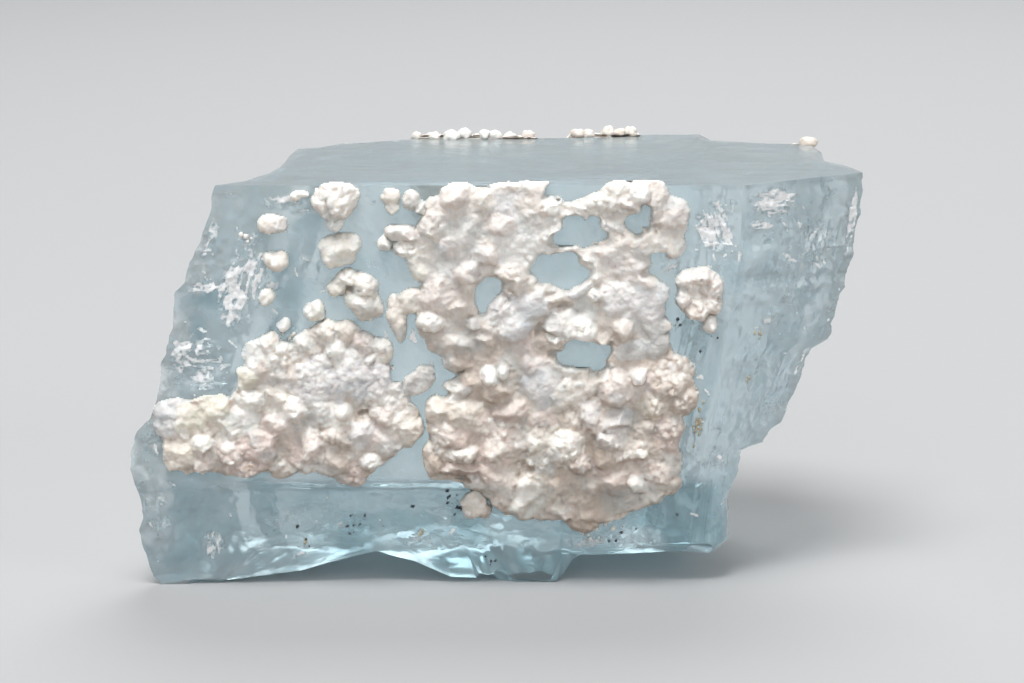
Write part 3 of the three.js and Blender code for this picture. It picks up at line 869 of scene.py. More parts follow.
@dataclass(frozen=True)
class TopazCrystal:
    """The topaz: its top cleavage face, broken sides and underside as one closed skin.

    Distances across run along the top's outline: from 0 over the front, through facet_begins over the
    facet right of it, to facet_ends; the rest is the right side, the back and the left side.
    """

    outline: CrystalOutline = field(default_factory=CrystalOutline)
    front_step: float = 0.18
    side_step: float = 0.46
    side_rows: int = 150
    top_rings: int = 14
    under_rings: int = 14
    facet_begins: tuple[float, float] = (44.0, 46.0)
    facet_ends: float = 57.7
    left_lean: float = 0.2
    frost_elsewhere: float = 0.12
    # Painted shade on the top face and the underside.
    top_and_under_shade: float = 0.42

    def stations(self) -> tuple[Array, Array, Array]:
        """Plan points round the top face, finer on the front, with every corner kept.

        Returns:
            The points, their distance along the outline, and the way out of the crystal at each.
        """
        corners = np.array(self.outline.plan)
        after = np.roll(corners, -1, axis=0)
        lengths = np.hypot(*(after - corners).T)
        steps = np.where(np.arange(len(corners)) < 2, self.front_step, self.side_step)
        counts = np.maximum(1, np.round(lengths / steps)).astype(int)
        owner = np.repeat(np.arange(len(corners)), counts)
        share = np.concatenate([np.arange(n) / n for n in counts])
        points = mix(corners[owner], after[owner], share[:, None])
        along_it = np.concatenate([[0.0], np.cumsum(lengths)])[owner] + share * lengths[owner]
        ahead = (after - corners)[owner]
        out = np.stack([ahead[:, 1], -ahead[:, 0]], axis=1) / lengths[owner][:, None]
        blurred = sum(np.roll(out, shift, axis=0) for shift in range(-3, 4))
        return points, along_it, blurred / np.linalg.norm(blurred, axis=1, keepdims=True)

    def carried_up(self, x: Array, z: Array) -> Array:
        """Places across, carried up along the lean of the left side to the top."""
        return x + (self.outline.top_z - z) * self.left_lean

    def rough_share(self, across: Array, at: Array) -> Array:
        """How coarsely each place is broken: 1 on the left, back and right, little on the front's face.

        Args:
            across: Distances across.
            at: Plain points.

        Returns:
            Shares from 0 to 1.
        """
        x, z = at[..., 0], at[..., 2]
        left = 1.0 - smooth(self.carried_up(x, z), -26.0, -17.0)
        patch = np.exp(-(((x + 25.4) / 4.0) ** 2) - ((z - 19.0) / 4.5) ** 2)
        glassy = np.exp(-(((x - 18.4) / 1.8) ** 2) - ((z - 30.5) / 2.2) ** 2)
        band = 0.45 * (1.0 - smooth(z, 7.8, 9.2))
        facet = 0.6 * smooth(across, *self.facet_begins)
        on_front = np.maximum.reduce([0.14 + 0 * x, 0.85 * left, patch, 0.7 * glassy, band, facet])
        return np.where(across > self.facet_ends, 1.0, np.clip(on_front, 0.0, 1.0))

    def frost_and_glint(self, across: Array, at: Array) -> Array:
        """How white the skin is: the patches on the front, frosting with some painted glints, torn by
        ridged noise, and rough backs.

        Args:
            across: Distances across.
            at: Plain points.

        Returns:
            Shares from 0, clear, to 1, white.
        """
        x, z = at[..., 0], at[..., 2]
        torn = smooth(ridged(spread(x / 0.9 + z / 2.2, z / 3.2, 0.0), 67, 3), 0.25, 0.8)
        clouds = smooth(fractal(at / 4.0, 68, 5, 0.6), -0.15, 0.35)
        cloud = mix(0.22, 0.62, strongest(CLOUDS, x, z)) * clouds
        left_rim = 1.0 - smooth(self.carried_up(x, z), -25.5, -22.0)
        rim = 0.5 * np.exp(-(((across - self.facet_ends) / 1.2) ** 2)) + 0.3 * left_rim
        front = np.clip(strongest(FROST_AND_GLINTS, x, z) * mix(0.55, 1.0, torn) + cloud + rim, 0.0, 1.0)
        behind = 0.25 + 0.3 * smooth(fractal(at / 4.0, 69, 4), -0.2, 0.4)
        return np.where(across > self.facet_ends + 0.8, behind, front)

    def deep(self, across: Array, at: Array) -> Array:
        """How dark the clear skin looks: painted shade on the band below the ledge, deeper blue pockets,
        and mottling where it is rough.

        Args:
            across: Distances across.
            at: Plain points.

        Returns:
            Shares from 0, pale, to 1, deep blue.
        """
        x, z = at[..., 0], at[..., 2]
        clouds = fractal(at / 3.2, 66, 4)
        below = mix(0.45, 0.95, smooth(x, -24.0, -10.0)) + 0.5 * clouds
        # Painted shade under the ledge, darker away from the left foot.
        band = (1.0 - smooth(z, 7.4, 10.4)) * below
        pockets = strongest(POCKETS, x + clouds, z + clouds)
        coarse = mix(0.12, 0.38, smooth(across, *self.facet_begins)) * self.rough_share(across, at)
        mottled = coarse * smooth(fractal(at / 2.2, 64, 5, 0.6), -0.1, 0.4)
        on_front = np.clip(np.maximum.reduce([band, pockets, mottled]), 0.0, 1.0)
        return np.where(across > self.facet_ends, 0.0, on_front)

    def relief(self, across: Array, z: Array, at: Array) -> Array:
        """How far the broken skin stands out of the plain sides, in millimetres.

        It is the sum of slow swells, shell-shaped fracture at three sizes, upright flutes that are
        strongest by the right front edge, and level cleavage steps on the coarsely broken sides.

        Args:
            across: Distances across.
            z: Heights.
            at: Plain points, for patterns that have no seam.

        Returns:
            Offsets outwards, negative where it is chipped.
        """
        rough = self.rough_share(across, at)
        warp = 0.35 * np.stack([fractal(at / 3.0 + shift, 51, 2) for shift in (0.0, 7.0, 13.0)], axis=-1)
        swell = 0.16 * fractal(at / 9.0, 11, 3) * mix(0.5, 1.4, rough)
        large = 0.55 * (scalloped(at / np.array([6.5, 6.5, 5.0]) + warp, 61) - 0.45)
        middle = 0.27 * (scalloped(at / np.array([2.4, 2.4, 1.7]) + warp, 71) - 0.45)
        small = 0.14 * (scalloped(at / 0.95 + warp, 81) - 0.45)
        by_edge = np.exp(-(((across - 43.0) / 5.0) ** 2))
        on_facet = 0.7 * np.exp(-(((across - 50.0) / 9.0) ** 2))
        flutes = 0.11 * (by_edge + on_facet) * fractal(spread(across / 0.8, z / 15.0, 0.5), 23, 3)
        level = z / 0.85 + 1.4 * fractal(spread(across / 6.0, z / 4.0, 2.0), 31, 2)
        ledges = lattice(spread(np.floor(level), np.floor(across / 9.0), 0.0), 37) - 0.5
        steps = 0.16 * rough * ledges
        fine = 0.02 * fractal(at / 0.6, 41, 3)
        edge = smooth(self.outline.top_z - z, 0.0, 0.45)
        return (swell + (large + middle + small) * rough + flutes + steps + fine) * mix(0.25, 1.0, edge)

    def skin(self, across: Array, z: Array, at: Array) -> Array:
        """The relief with its frosted patches torn open: how far the finished skin stands out."""
        torn = scalloped(at / np.array([0.55, 0.55, 0.8]), 95) - 0.4
        frayed = 0.24 * self.frost_and_glint(across, at) * torn * smooth(self.outline.top_z - z, 0.0, 0.4)
        return self.relief(across, z, at) + frayed

    def skin_at(self, x: Array, z: Array) -> Array:
        """Y of the finished skin at places x and z of the front or its facet."""
        y = self.outline.front_at(x, z)
        return y - self.skin(self.outline.across_at(x, z), z, spread(x, y, z))

    def top_points(self, lip: Array, centre: Array) -> Array:
        """Rings of the top cleavage face, with the faint raised grain of the cleavage.

        Args:
            lip: Plan points of the finished upper edge.
            centre: Plan point that the rings close in on.

        Returns:
            Points of each ring, from the middle out.
        """
        shares = np.linspace(0.0, 1.0, self.top_rings + 1)[1:-1] ** 0.6
        plan = mix(centre, lip, shares[:, None, None])
        streak = fractal(spread(plan[..., 0] / 14.0, plan[..., 1] / 0.9, 0.0), 91, 3)
        height = self.outline.top_z - 0.05 * np.maximum(streak, 0.0) * (1.0 - shares[:, None] ** 8)
        return np.concatenate([plan, height[..., None]], axis=-1)

    def under_points(self, lowest: Array) -> Array:
        """Rings of the underside, from the lower rim in to the belly's middle."""
        inward = np.linspace(0.0, 1.0, self.under_rings + 2)[1:-1, None]
        plan = mix(lowest[None, :, :2], np.array(self.outline.belly_middle), inward[..., None])
        height = self.outline.underside(plan[..., 0], plan[..., 1], lowest[None, :, 2], inward)
        return np.concatenate([plan, height[..., None]], axis=-1)

    def build(self) -> Object:
        """Builds the skin: rings over the top face, rows down the sides and rings in under it.

        Returns:
            The crystal's object.
        """
        outline = self.outline
        plan, across, out = self.stations()
        count = len(plan)
        down = np.linspace(0.0, 1.0, self.side_rows)[:, None]
        z = mix(outline.top_z, outline.rim(plan)[None, :], down)
        across = np.broadcast_to(across, z.shape)
        side = outline.column(np.broadcast_to(plan, (self.side_rows, count, 2)), z)
        plain = spread(side[..., 0], side[..., 1], z)
        side = side + out[None, :, :] * self.skin(across, z, plain)[..., None]
        side = np.concatenate([side, z[..., None]], axis=-1)
        centre = plan.mean(axis=0)
        top = self.top_points(side[0, :, :2], centre)
        rows = np.concatenate([top, side, self.under_points(side[-1])])
        poles = np.array([[*centre, outline.top_z], [*outline.belly_middle, outline.belly_z]])
        points = np.concatenate([rows.reshape(-1, 3), poles]) * MM
        first = np.arange(count)
        after = (first + 1) % count
        last = (len(rows) - 1) * count
        cap = np.stack([np.full(count, len(points) - 2), first, after], axis=1)
        belly = np.stack([np.full(count, len(points) - 1), last + after, last + first], axis=1)
        quads = grid_faces(len(rows), count, around=True)
        made = mesh_object("topaz", points, quads, np.concatenate([cap, belly]))
        shade(made, 28.0)
        for name, on_side, elsewhere in (
            ("frost_and_glint", self.frost_and_glint(across, plain), self.frost_elsewhere),
            ("deep", self.deep(across, plain), self.top_and_under_shade),
        ):
            # Rings of the top face and underside take one share each: a little frosting, and painted shade.
            shares = np.full((len(rows), count), elsewhere)
            shares[len(top) : len(top) + len(side)] = on_side
            give_shares(made, name, np.concatenate([shares.ravel(), [elsewhere, elsewhere]]))
        return dress(made, TopazFinish().make(), "topaz_crystal")


TOPAZ = TopazCrystal()


# What the topaz holds and carries


def shards(name: str, middle: Array, long: Array, wide: Array, thick: Array) -> Object:
    """Many small closed shards in one mesh, each a stretched octahedron.

    A shard's six corners are its middle plus and minus each of its three half axes.

    Args:
        name: Name of the object.
        middle: Middles, in millimetres.
        long: Half axes along each shard.
        wide: Half axes across.
        thick: Half axes through; long, wide and thick turn right-handed.

    Returns:
        The joined object.
    """
    offsets = [long, wide, -long, -wide, thick, -thick]
    corners = np.stack([middle + offset for offset in offsets], axis=1)
    upper = [[0, 1, 4], [1, 2, 4], [2, 3, 4], [3, 0, 4]]
    lower = [[1, 0, 5], [2, 1, 5], [3, 2, 5], [0, 3, 5]]
    triangles = (np.array([upper + lower]) + 6 * np.arange(len(middle))[:, None, None]).reshape(-1, 3)
    return mesh_object(name, corners.reshape(-1, 3) * MM, np.empty((0, 4), int), triangles)


@dataclass(frozen=True)
class Inclusions:
    """One kind of specks, stains or loose grains, scattered in patches on the front of the topaz.

    The strength of a patch is how many lie in it. Depths are behind the finished skin, and sizes are
    half widths, both as least and greatest in millimetres. The stretch and the flatness are the length
    and the thickness against the width. The lean is the angle of the length from the vertical, in
    degrees, and its spread is half as much.
    """

    name: str
    scattered: tuple[Patch, ...]
    depth: tuple[float, float]
    size: tuple[float, float]
    stretch: float
    flatness: float
    lean: float
    finish: MineralFinish
    slot: str
    seed: int = 77

    def places(self, rng: np.random.Generator) -> tuple[Array, Array]:
        """Random x and z in the patches, kept clear of the outline's edges."""
        drawn = np.concatenate([patch.places(rng, int(patch.strength)) for patch in self.scattered])
        outline = TOPAZ.outline
        x, z = drawn[:, 0], np.clip(drawn[:, 1], 0.8, outline.top_z - 0.25)
        left, _, right = outline.edges(z)
        x = np.clip(x, left + 0.8, right - 0.9)
        return x, np.maximum(z, along(outline.front_rim, x) + 0.5)

    def build(self) -> Object:
        """Builds the shards, each turned its own way.

        Returns:
            The shards as one object.
        """
        rng = np.random.default_rng(self.seed + len(self.name) + len(self.scattered))
        x, z = self.places(rng)
        y = TOPAZ.skin_at(x, z) + rng.uniform(*self.depth, len(x))
        half = rng.uniform(*self.size, len(x))[:, None]
        angle = np.radians(rng.normal(self.lean, abs(self.lean) / 2.0 + 4.0, len(x)))
        tip = rng.normal(0.0, 0.25, len(x))
        long = np.stack([np.sin(angle), np.sin(tip), np.cos(angle)], axis=1)
        long /= np.linalg.norm(long, axis=1, keepdims=True)
        wide = np.cross(rng.normal(0.0, 1.0, (len(x), 3)), long)
        wide /= np.linalg.norm(wide, axis=1, keepdims=True)
        thick = np.cross(long, wide) * half * self.flatness
        middle = np.stack([x, y, z], axis=1)
        made = shards(self.name, middle, long * half * self.stretch, wide * half, thick)
        return dress(made, self.finish.make())


SPECK_BLACK = MineralFinish("speck_black", (0.02, 0.02, 0.025, 1.0), (0.07, 0.07, 0.08, 1.0), 0.4)
STAIN_TAN = MineralFinish("stain_tan", (0.70, 0.60, 0.41, 1.0), (0.84, 0.77, 0.60, 1.0), 0.5, 0.3)
SUGAR_WHITE = MineralFinish("sugar_white", (0.74, 0.70, 0.64, 1.0), (0.88, 0.86, 0.82, 1.0), 0.55)
INCLUSIONS = (
    Inclusions(
        "black_specks", SPECKS, (-0.02, 0.08), (0.06, 0.19), 1.3, 0.8, 40.0, SPECK_BLACK, "dark_specks"
    ),
    Inclusions(
        "tan_stains", STAINS, (-0.02, 0.06), (0.1, 0.24), 1.4, 0.5, 12.0, STAIN_TAN, "brown_stain"
    ),
    Inclusions(
        "loose_sugar_grains", SPRINKLES, (-0.15, 0.1), (0.14, 0.36), 1.1, 0.9, 30.0, SUGAR_WHITE,
        "albite_white",
    ),
)


@dataclass(frozen=True)
class FrostAndGlintSheet:
    """White, torn skin over the fractures just under the front of the topaz, as one ragged sheet; at the
    glint patches its white is a painted highlight.
    """

    step: float = 0.075
    seed: int = 5
    least: float = 0.3
    full: float = 1.0
    fibre: float = 0.32
    sunk: float = 0.1
    margin: float = 0.35
    half_span: float = 31.5

    def glints(self) -> list[Patch]:
        """Short bright breaks scattered through the fields that sparkle: painted glints for the sparkle of
        small fractures.
        """
        rng = np.random.default_rng(self.seed)
        made = []
        for glint_field in GLINT_FIELDS:
            for x, z in glint_field.places(rng, int(glint_field.strength)):
                long = rng.uniform(0.2, 0.75)
                sway = float(value_noise(np.array([x / 4.0, z / 4.0, 0.5]), self.seed))
                turn = 70.0 * sway + rng.normal(0.0, 25.0)
                slender = max(0.12, long * rng.uniform(0.16, 0.45))
                made.append(Patch(x, z, slender, long, rng.uniform(0.4, 1.1), 20.0 + turn))
        return made

    def strength(self, x: Array, z: Array) -> Array:
        """How white each place is, from fractures and from painted glints: every patch's bell, torn into
        streaks along its turn.

        Args:
            x: Places across, on a grid.
            z: Heights, on the same grid.

        Returns:
            Strengths from 0 to 1.
        """
        total = np.zeros(x.shape)
        sway = 0.7 * fractal(spread(x / 1.8, z / 1.8, 1.0), self.seed, 3)
        fray = 0.3 * fractal(spread(x / 0.4, z / 0.4, 6.0), self.seed, 3, 0.6)
        for number, patch in enumerate([*FROST_AND_GLINTS, *self.glints()]):
            part = window(x, z, patch.x, patch.z, 1.5 * max(patch.half_width, patch.half_height))
            at_x, at_z, swayed, frayed = x[part], z[part], sway[part], fray[part]
            u, v = turned(at_x - patch.x + swayed, at_z - patch.z, math.radians(patch.turn))
            fibre = (self.fibre, 1.9) if patch.half_height > patch.half_width else (1.2, self.fibre)
            lines = spread(u / fibre[0], v / fibre[1], float(number))
            streaks = smooth(ridged(lines, self.seed + number, 3), 0.3, 0.85)
            torn = 0.6 * swayed + frayed
            bell = patch.share(at_x + torn, at_z + 0.6 * swayed - frayed)
            total[part] = np.maximum(total[part], bell * mix(0.25, 1.1, streaks))
        pitted = smooth(ridged(spread(x / 0.5, z / 0.5, 3.0), self.seed + 900, 3), 0.3, 0.9)
        return total * mix(0.62, 1.2, pitted)

    def build(self) -> Object:
        """Lays the sheet on the topaz's own skin, rough with little broken bowls.

        Returns:
            The sheet.
        """
        outline = TOPAZ.outline
        across = np.arange(-self.half_span, self.half_span, self.step)
        x, z = np.meshgrid(across, np.arange(0.8, outline.top_z - 0.3, self.step))
        strength = self.strength(x, z)
        left, _, right = outline.edges(z)
        inside = (x > left + self.margin) & (x < right - self.margin)
        inside &= z > along(outline.front_rim, x) + 0.6
        cells = solid_cells((strength > self.least) & inside)
        kept = corners_of(cells)
        y = outline.front_at(x, z)
        chips = 0.6 - scalloped(spread(x[kept] / 0.34, z[kept] / 0.5, y[kept] / 0.5), self.seed + 70)
        proud = 0.02 + 0.13 * np.maximum(chips, 0.0) * smooth(strength[kept], self.least, 0.7)
        skin = TOPAZ.skin_at(x[kept], z[kept])
        front, back = y.copy(), y.copy()
        front[kept] = skin - proud
        back[kept] = skin + self.sunk
        quads = cell_quads(cells)
        front, back = (spread(x, depth, z).reshape(-1, 3) * MM for depth in (front, back))
        made = thick_sheet("skin_frost_and_glints", front, back, quads)
        shade(made, 35.0)
        # Share of white: frosting, and painted highlights at the glints.
        white = smooth(strength, self.least, self.full).ravel()[np.unique(quads)]
        give_shares(made, "frost_and_glint", np.tile(white, 2))
        return dress(made, FrostAndGlintFinish().make())


# The albite


class Tone(Enum):
    """Colours of the albite, as display red, green and blue from 0 to 255."""

    BEIGE = (201, 188, 177)
    PINK = (210, 196, 189)
    LAVENDER = (209, 206, 207)
    WHITE = (240, 237, 232)
    CREAM = (221, 212, 201)
    YELLOW = (224, 219, 205)
    PEACH = (219, 206, 193)
    GREY = (203, 200, 196)
    # Painted shade, partly real brown staining: the colour of the hollows between grains.
    BROWN_STAIN_AND_SHADE = (172, 154, 138)
    CLEAR = (190, 200, 202)

    def linear(self) -> Array:
        """The tone as light: each share of 255 raised to 2.2."""
        return (np.array(self.value) / 255.0) ** 2.2


BEIGE, PINK, LAVENDER, WHITE, CREAM, YELLOW, PEACH, GREY, BROWN_STAIN_AND_SHADE, CLEAR = Tone


class Habit(Enum):
    """Shapes that albite grains take."""

    BLOCK = "rounded block with a slightly tilted flat top"
    BALL = "rounded knob"
    PLATE = "low, flat plate with a stepped top"
    TUFT = "sugary knob of many little points"
    BOWL = "hollow between grains"


BLOCK, BALL, PLATE, TUFT, BOWL = Habit


@dataclass(frozen=True)
class Face:
    """A face of the topaz that carries albite: which way it looks along Y, and its plane in millimetres."""

    facing: float
    plane: float


FRONT = Face(-1.0, -15.3)
BACK = Face(1.0, 14.4)
BACK_RIGHT = Face(1.0, 15.9)
BACK_CORNER = Face(1.0, 10.4)


@dataclass(frozen=True)
class Grain:
    """One grain of albite, in millimetres on its face."""

    x: float
    z: float
    width: float
    height: float
    rise: float
    tone: Tone = BEIGE
    habit: Habit = BLOCK
    turn: float = 0.0

    def profile(self, x: Array, z: Array, seed: int) -> Array:
        """Height of the grain over its face, in millimetres, falling away steeply outside it.

        The reach is the distance from the middle against the half sizes, uneven by noise, by squares
        for balls and tufts and by a higher power for blocks and plates. A ball is a dome over it. A
        block has a flatter top, leans a little, and slanting planes cut it. A plate is low and cut in
        fine steps. A tuft is a ball with a field of little knobs on it.

        Args:
            x: Places across, in millimetres.
            z: Heights, in millimetres.
            seed: Pattern of this grain's tilts and points.

        Returns:
            Heights; where they are below 0 the grain has ended.
        """
        rng = np.random.default_rng(seed)
        u, v = turned(x - self.x, z - self.z, math.radians(self.turn))
        round_one = self.habit in (BALL, TUFT)
        plate = self.habit is PLATE
        u, v = u / (0.57 * self.width), v / (0.57 * self.height)
        power = 2.0 if round_one else rng.uniform(2.8, 4.2)
        reach = (np.abs(u) ** power + np.abs(v) ** power) ** (1.0 / power)
        uneven = fractal(spread(x / 1.5, z / 1.5, float(seed % 83)), seed, 3, 0.6)
        reach = reach * (1.0 + (0.5 if plate else 0.3) * uneven)
        top_power = 2.2 if round_one else 3.0
        dome = np.maximum(1.0 - np.minimum(reach, 1.0) ** top_power, 0.0) ** (0.25 if plate else 0.6)
        lean_u, lean_v = rng.uniform(-0.22, 0.22, 2) - np.array([0.0, 0.14])
        lean = 1.0 + (0.15 if plate else 1.0) * np.clip(lean_u * u + lean_v * v, -0.4, 0.4)
        shape = self.rise * np.where(reach < 1.0, dome * lean, 1.6 * (1.0 - reach))
        planes, steepness = {BLOCK: (4, 0.8), BALL: (2, 0.45)}.get(self.habit, (0, 0.0))
        for _ in range(planes):
            way, slant = rng.uniform(0.0, 2.0 * math.pi), rng.uniform(0.3, 1.0)
            high = rng.uniform(0.9, 1.15)
            plane = high - steepness * slant * (u * math.cos(way) + v * math.sin(way))
            shape = np.minimum(shape, self.rise * plane)
        if plate:
            band = (u + 0.5 * v) * self.width / 1.3 + 0.9 * uneven
            return shape - 0.03 * (band - np.floor(band)) * smooth(shape, 0.0, 0.3)
        if self.habit is not TUFT:
            scale = min(1.0, 0.5 * self.width)
            rough = fractal(spread(x / scale, z / scale, float(seed % 79)), seed + 1, 3, 0.6)
            return shape + 0.2 * scale * rough
        size = min(0.5, max(0.24, 0.2 * self.width))
        knobs = scalloped(spread(x / size, z / size, float(seed % 97)), seed)
        return shape + 1.1 * size * (0.5 - knobs) * smooth(reach, 1.4, 0.9)


def grains(*rows: tuple) -> tuple[Grain, ...]:
    """Grains from rows of their values, in the order of the fields."""
    return tuple(Grain(*row) for row in rows)


@dataclass
class Relief:
    """A relief over a face: a grid of places, the height over the face, and the tone as light.

    Between the heights of milky, going up, the tones get milky; between those of brown, going down,
    browner. The casts multiply the tones: warm low on the face, and a painted shade in hollows and under
    grains, browner low on the face where it is partly real brown staining.
    """

    x: Array
    z: Array
    height: Array
    tone: Array
    step: float
    seed: int
    milky: tuple[float, float] = (19.0, 28.0)
    brown: tuple[float, float] = (13.0, 21.0)
    warm_cast: tuple[float, float, float] = (0.97, 0.95, 0.92)
    # Painted shade: this cast darkens hollows and the undersides of grains; the next, browner one does so
    # low on the face, partly as real brown staining.
    painted_shade_cast: tuple[float, float, float] = (0.88, 0.82, 0.76)
    brown_stain_and_shade_cast: tuple[float, float, float] = (0.62, 0.52, 0.44)

    def noise(
        self, size: float, layer: Array | float, number: int, octaves: int = 3, gain: float = 0.5
    ) -> Array:
        """Noise over the face.

        Args:
            size: Size of its coarsest cells, in millimetres.
            layer: Third coordinate, in cells.
            number: Added to the seed.
            octaves: How many octaves are added.
            gain: Strength of each octave against the one before.

        Returns:
            Noise of about -1 to 1.
        """
        return fractal(spread(self.x / size, self.z / size, layer), self.seed + number, octaves, gain)

    def knobs(self, size: float, high: float, number: int) -> Array:
        """Shell-shaped bowls over the relief, with a size across and a size in its height."""
        return scalloped(spread(self.x / size, self.z / size, self.height / high), self.seed + number)

    def tint(self, tone: Tone, share: Array, part: object = ...) -> None:
        """Carries the tones, or those of a part of the grid, a share of the way to another."""
        self.tone[part] = mix(self.tone[part], tone.linear(), share[..., None])

    def weather(self, rough: Array) -> None:
        """Roughens the relief and clouds its tones, milky and clear.

        Args:
            rough: How sugary each place is, from 0 to 1.
        """
        fine = self.noise(0.55, self.height, 11, 4, 0.62)
        knobs = 0.45 - self.knobs(0.7, 0.7, 12)
        grit = 0.45 - self.knobs(0.3, 0.3, 16)
        broad = self.noise(1.7, 0.0, 13, 2)
        uneven = 0.19 * fine + (0.22 * knobs + 0.1 * grit) * mix(0.4, 1.0, rough) + 0.2 * broad
        self.height = self.height + uneven * smooth(self.height, -0.2, 0.3)
        self.tone = self.tone * (1.0 + 0.06 * broad + 0.08 * fine)[..., None]
        milk = smooth(self.noise(2.1, 2.0, 14, 4, 0.6), 0.0, 0.45)
        upper = smooth(self.z, *self.milky)
        self.tint(WHITE, 0.5 * milk + 0.5 * upper * (1.0 - milk))
        self.tint(CLEAR, 0.4 * smooth(-self.noise(2.4, 8.0, 15, 4, 0.6), 0.05, 0.45))

    def sprinkle(self) -> None:
        """Adds drifts of tiny white grains, each a small dome on what is there."""
        rng = np.random.default_rng(self.seed + 900)
        count = int(0.7 * (self.height > 0.3).sum() * self.step**2)
        drifts = smooth(self.noise(2.6, 4.0, 0), -0.05, 0.3) * smooth(self.height, 0.3, 0.8)
        grit = 0.5 - self.knobs(0.42, 0.5, 60)
        self.height = self.height + 0.16 * grit * drifts
        self.tint(WHITE, 0.6 * drifts * smooth(grit, -0.3, 0.3))
        for _ in range(count):
            at = rng.integers(self.x.shape[0]), rng.integers(self.x.shape[1])
            size, squash = rng.uniform(0.14, 0.34), rng.uniform(0.6, 1.0)
            spin = rng.uniform(0.0, math.pi)
            if self.height[at] < 0.3 or drifts[at] < 0.3:
                continue
            reach = int(size / self.step) + 1
            part = tuple(slice(max(middle - reach, 0), middle + reach + 1) for middle in at)
            u, v = turned(self.x[part] - self.x[at], self.z[part] - self.z[at], spin)
            farther = np.maximum(np.abs(u / size), np.abs(v / (size * squash)))
            dome = np.maximum(1.0 - farther**3, 0.0)
            self.height[part] += 0.55 * size * dome
            self.tint(WHITE, 0.7 * smooth(dome, 0.0, 0.4), part)

    def painted_light_and_stain(self, browned: float) -> None:
        """Paints shade into hollows and undersides, browner low down with partly real brown staining,
        paints highlights on crests and upward slopes, and clears thin edges.

        Args:
            browned: How brown the shade painted in low hollows gets, partly real brown staining, from 0 to
                1.
        """
        raised = np.maximum(self.height, 0.0)
        lower = blurred(raised, 1, 14) - self.height
        slope = np.gradient(blurred(raised, 1, 3), self.step, axis=0)
        # Painted shade: hollows and downward-facing slopes, the undersides of grains, are marked to be
        # darkened.
        under = np.maximum(smooth(lower, 0.05, 0.6), 0.75 * smooth(slope, 0.2, 1.4))
        low = browned * (1.0 - smooth(self.z, *self.brown))[..., None]
        # Colour of the painted shade: browner low on the face, where it is partly real brown staining.
        painted_light_and_stain = mix(np.array(self.painted_shade_cast), np.array(self.brown_stain_and_shade_cast), low)
        tone = self.tone * mix(1.0, np.array(self.warm_cast), low)
        self.tone = mix(tone, tone * painted_light_and_stain, under[..., None])
        # Painted highlight: crests and upward-facing slopes are whitened as if lit from above.
        crest_highlight, over = smooth(-lower, 0.08, 0.5), smooth(-slope, 0.3, 1.4)
        self.tint(WHITE, np.maximum(0.55 * crest_highlight, 0.35 * over))
        self.tint(CLEAR, 0.6 * (1.0 - smooth(self.height, 0.0, 0.55)))


@dataclass(frozen=True)
class Crust:
    """What fills a crust between its chosen grains: its outline, its gaps and its choice of tones."""

    outline: Points
    tones: tuple[Tone, ...]
    gaps: tuple[tuple[float, float, float, float], ...] = ()
    spacing: float = 2.0
    rise: tuple[float, float] = (0.7, 1.7)

    def inside(self, x: Array, z: Array) -> Array:
        """Whether places are inside the outline, by the edges that a line to the left crosses."""
        within = np.zeros(np.shape(x), bool)
        corners = np.array(self.outline)
        for (ax, az), (bx, bz) in zip(corners, np.roll(corners, -1, axis=0), strict=True):
            if az == bz:
                continue
            spans = (az > z) != (bz > z)
            within ^= spans & (x < ax + (z - az) * (bx - ax) / (bz - az))
        return within

    def open_gap(self, x: Array, z: Array) -> Array:
        """How deep places are in a gap: 1 in its middle, 0 at its edge, below 0 outside, -1 far away."""
        depth = np.full(np.shape(x), -1.0)
        for gap_x, gap_z, width, height in self.gaps:
            reach = np.hypot((x - gap_x) / (width / 2.0), (z - gap_z) / (height / 2.0))
            depth = np.maximum(depth, 1.0 - reach)
        return depth

    def filling(self, seed: int, placed: tuple[Grain, ...]) -> list[Grain]:
        """Grains on staggered, jittered rows inside the outline, none in a gap or on a placed grain."""
        rng = np.random.default_rng(seed)
        low, high = np.min(self.outline, axis=0), np.max(self.outline, axis=0)
        made = []
        rows = np.arange(low[1], high[1], self.spacing * 0.87)
        for row, row_z in enumerate(rows):
            start = low[0] + (row % 2) * self.spacing / 2.0
            for row_x in np.arange(start, high[0], self.spacing):
                x, z = row_x + rng.normal(0.0, 0.3), row_z + rng.normal(0.0, 0.3)
                width = self.spacing * rng.uniform(1.0, 1.7)
                height = width * rng.uniform(0.65, 1.0)
                rise = rng.uniform(*self.rise)
                tone = self.tones[rng.integers(len(self.tones))]
                draw = rng.uniform()
                turn = rng.uniform(-35.0, 35.0)
                habit = TUFT if draw < 0.2 else BALL if draw < 0.45 else BLOCK
                here = np.array(x), np.array(z)
                taken = any(math.hypot((x - g.x) / g.width, (z - g.z) / g.height) < 0.5 for g in placed)
                if self.inside(*here) and self.open_gap(*here) <= 0.0 and not taken:
                    made.append(Grain(x, z, width, height, rise, tone, habit, turn))
        return made

    def fill(self, relief: Relief, grown: list[Grain]) -> None:
        """Fills the clefts of a relief and tears its gaps open.

        Args:
            relief: The relief.
            grown: Its grains; the clefts stay open in its bowls.
        """
        x, z, height = relief.x, relief.z, relief.height
        fill = 0.9 * blurred(np.maximum(height, 0.0), 3, 12) - 0.1
        hollow = np.zeros(x.shape)
        for bowl in (grain for grain in grown if grain.habit is BOWL):
            away = np.hypot((x - bowl.x) / bowl.width, (z - bowl.z) / bowl.height)
            hollow = np.maximum(hollow, 1.0 - away / 0.7)
        closed = soft_max(height, fill * smooth(hollow, 0.6, 0.1), 0.3)
        height = np.where(height > 0.2, closed, height)
        torn_x, torn_z = (1.6 * relief.noise(1.5, layer, 21, 3, 0.55) for layer in (2.0, 7.0))
        gap = self.open_gap(x + torn_x, z + torn_z)
        relief.height = np.where(gap > -0.9, np.minimum(height, 0.15 - 2.3 * gap), height)


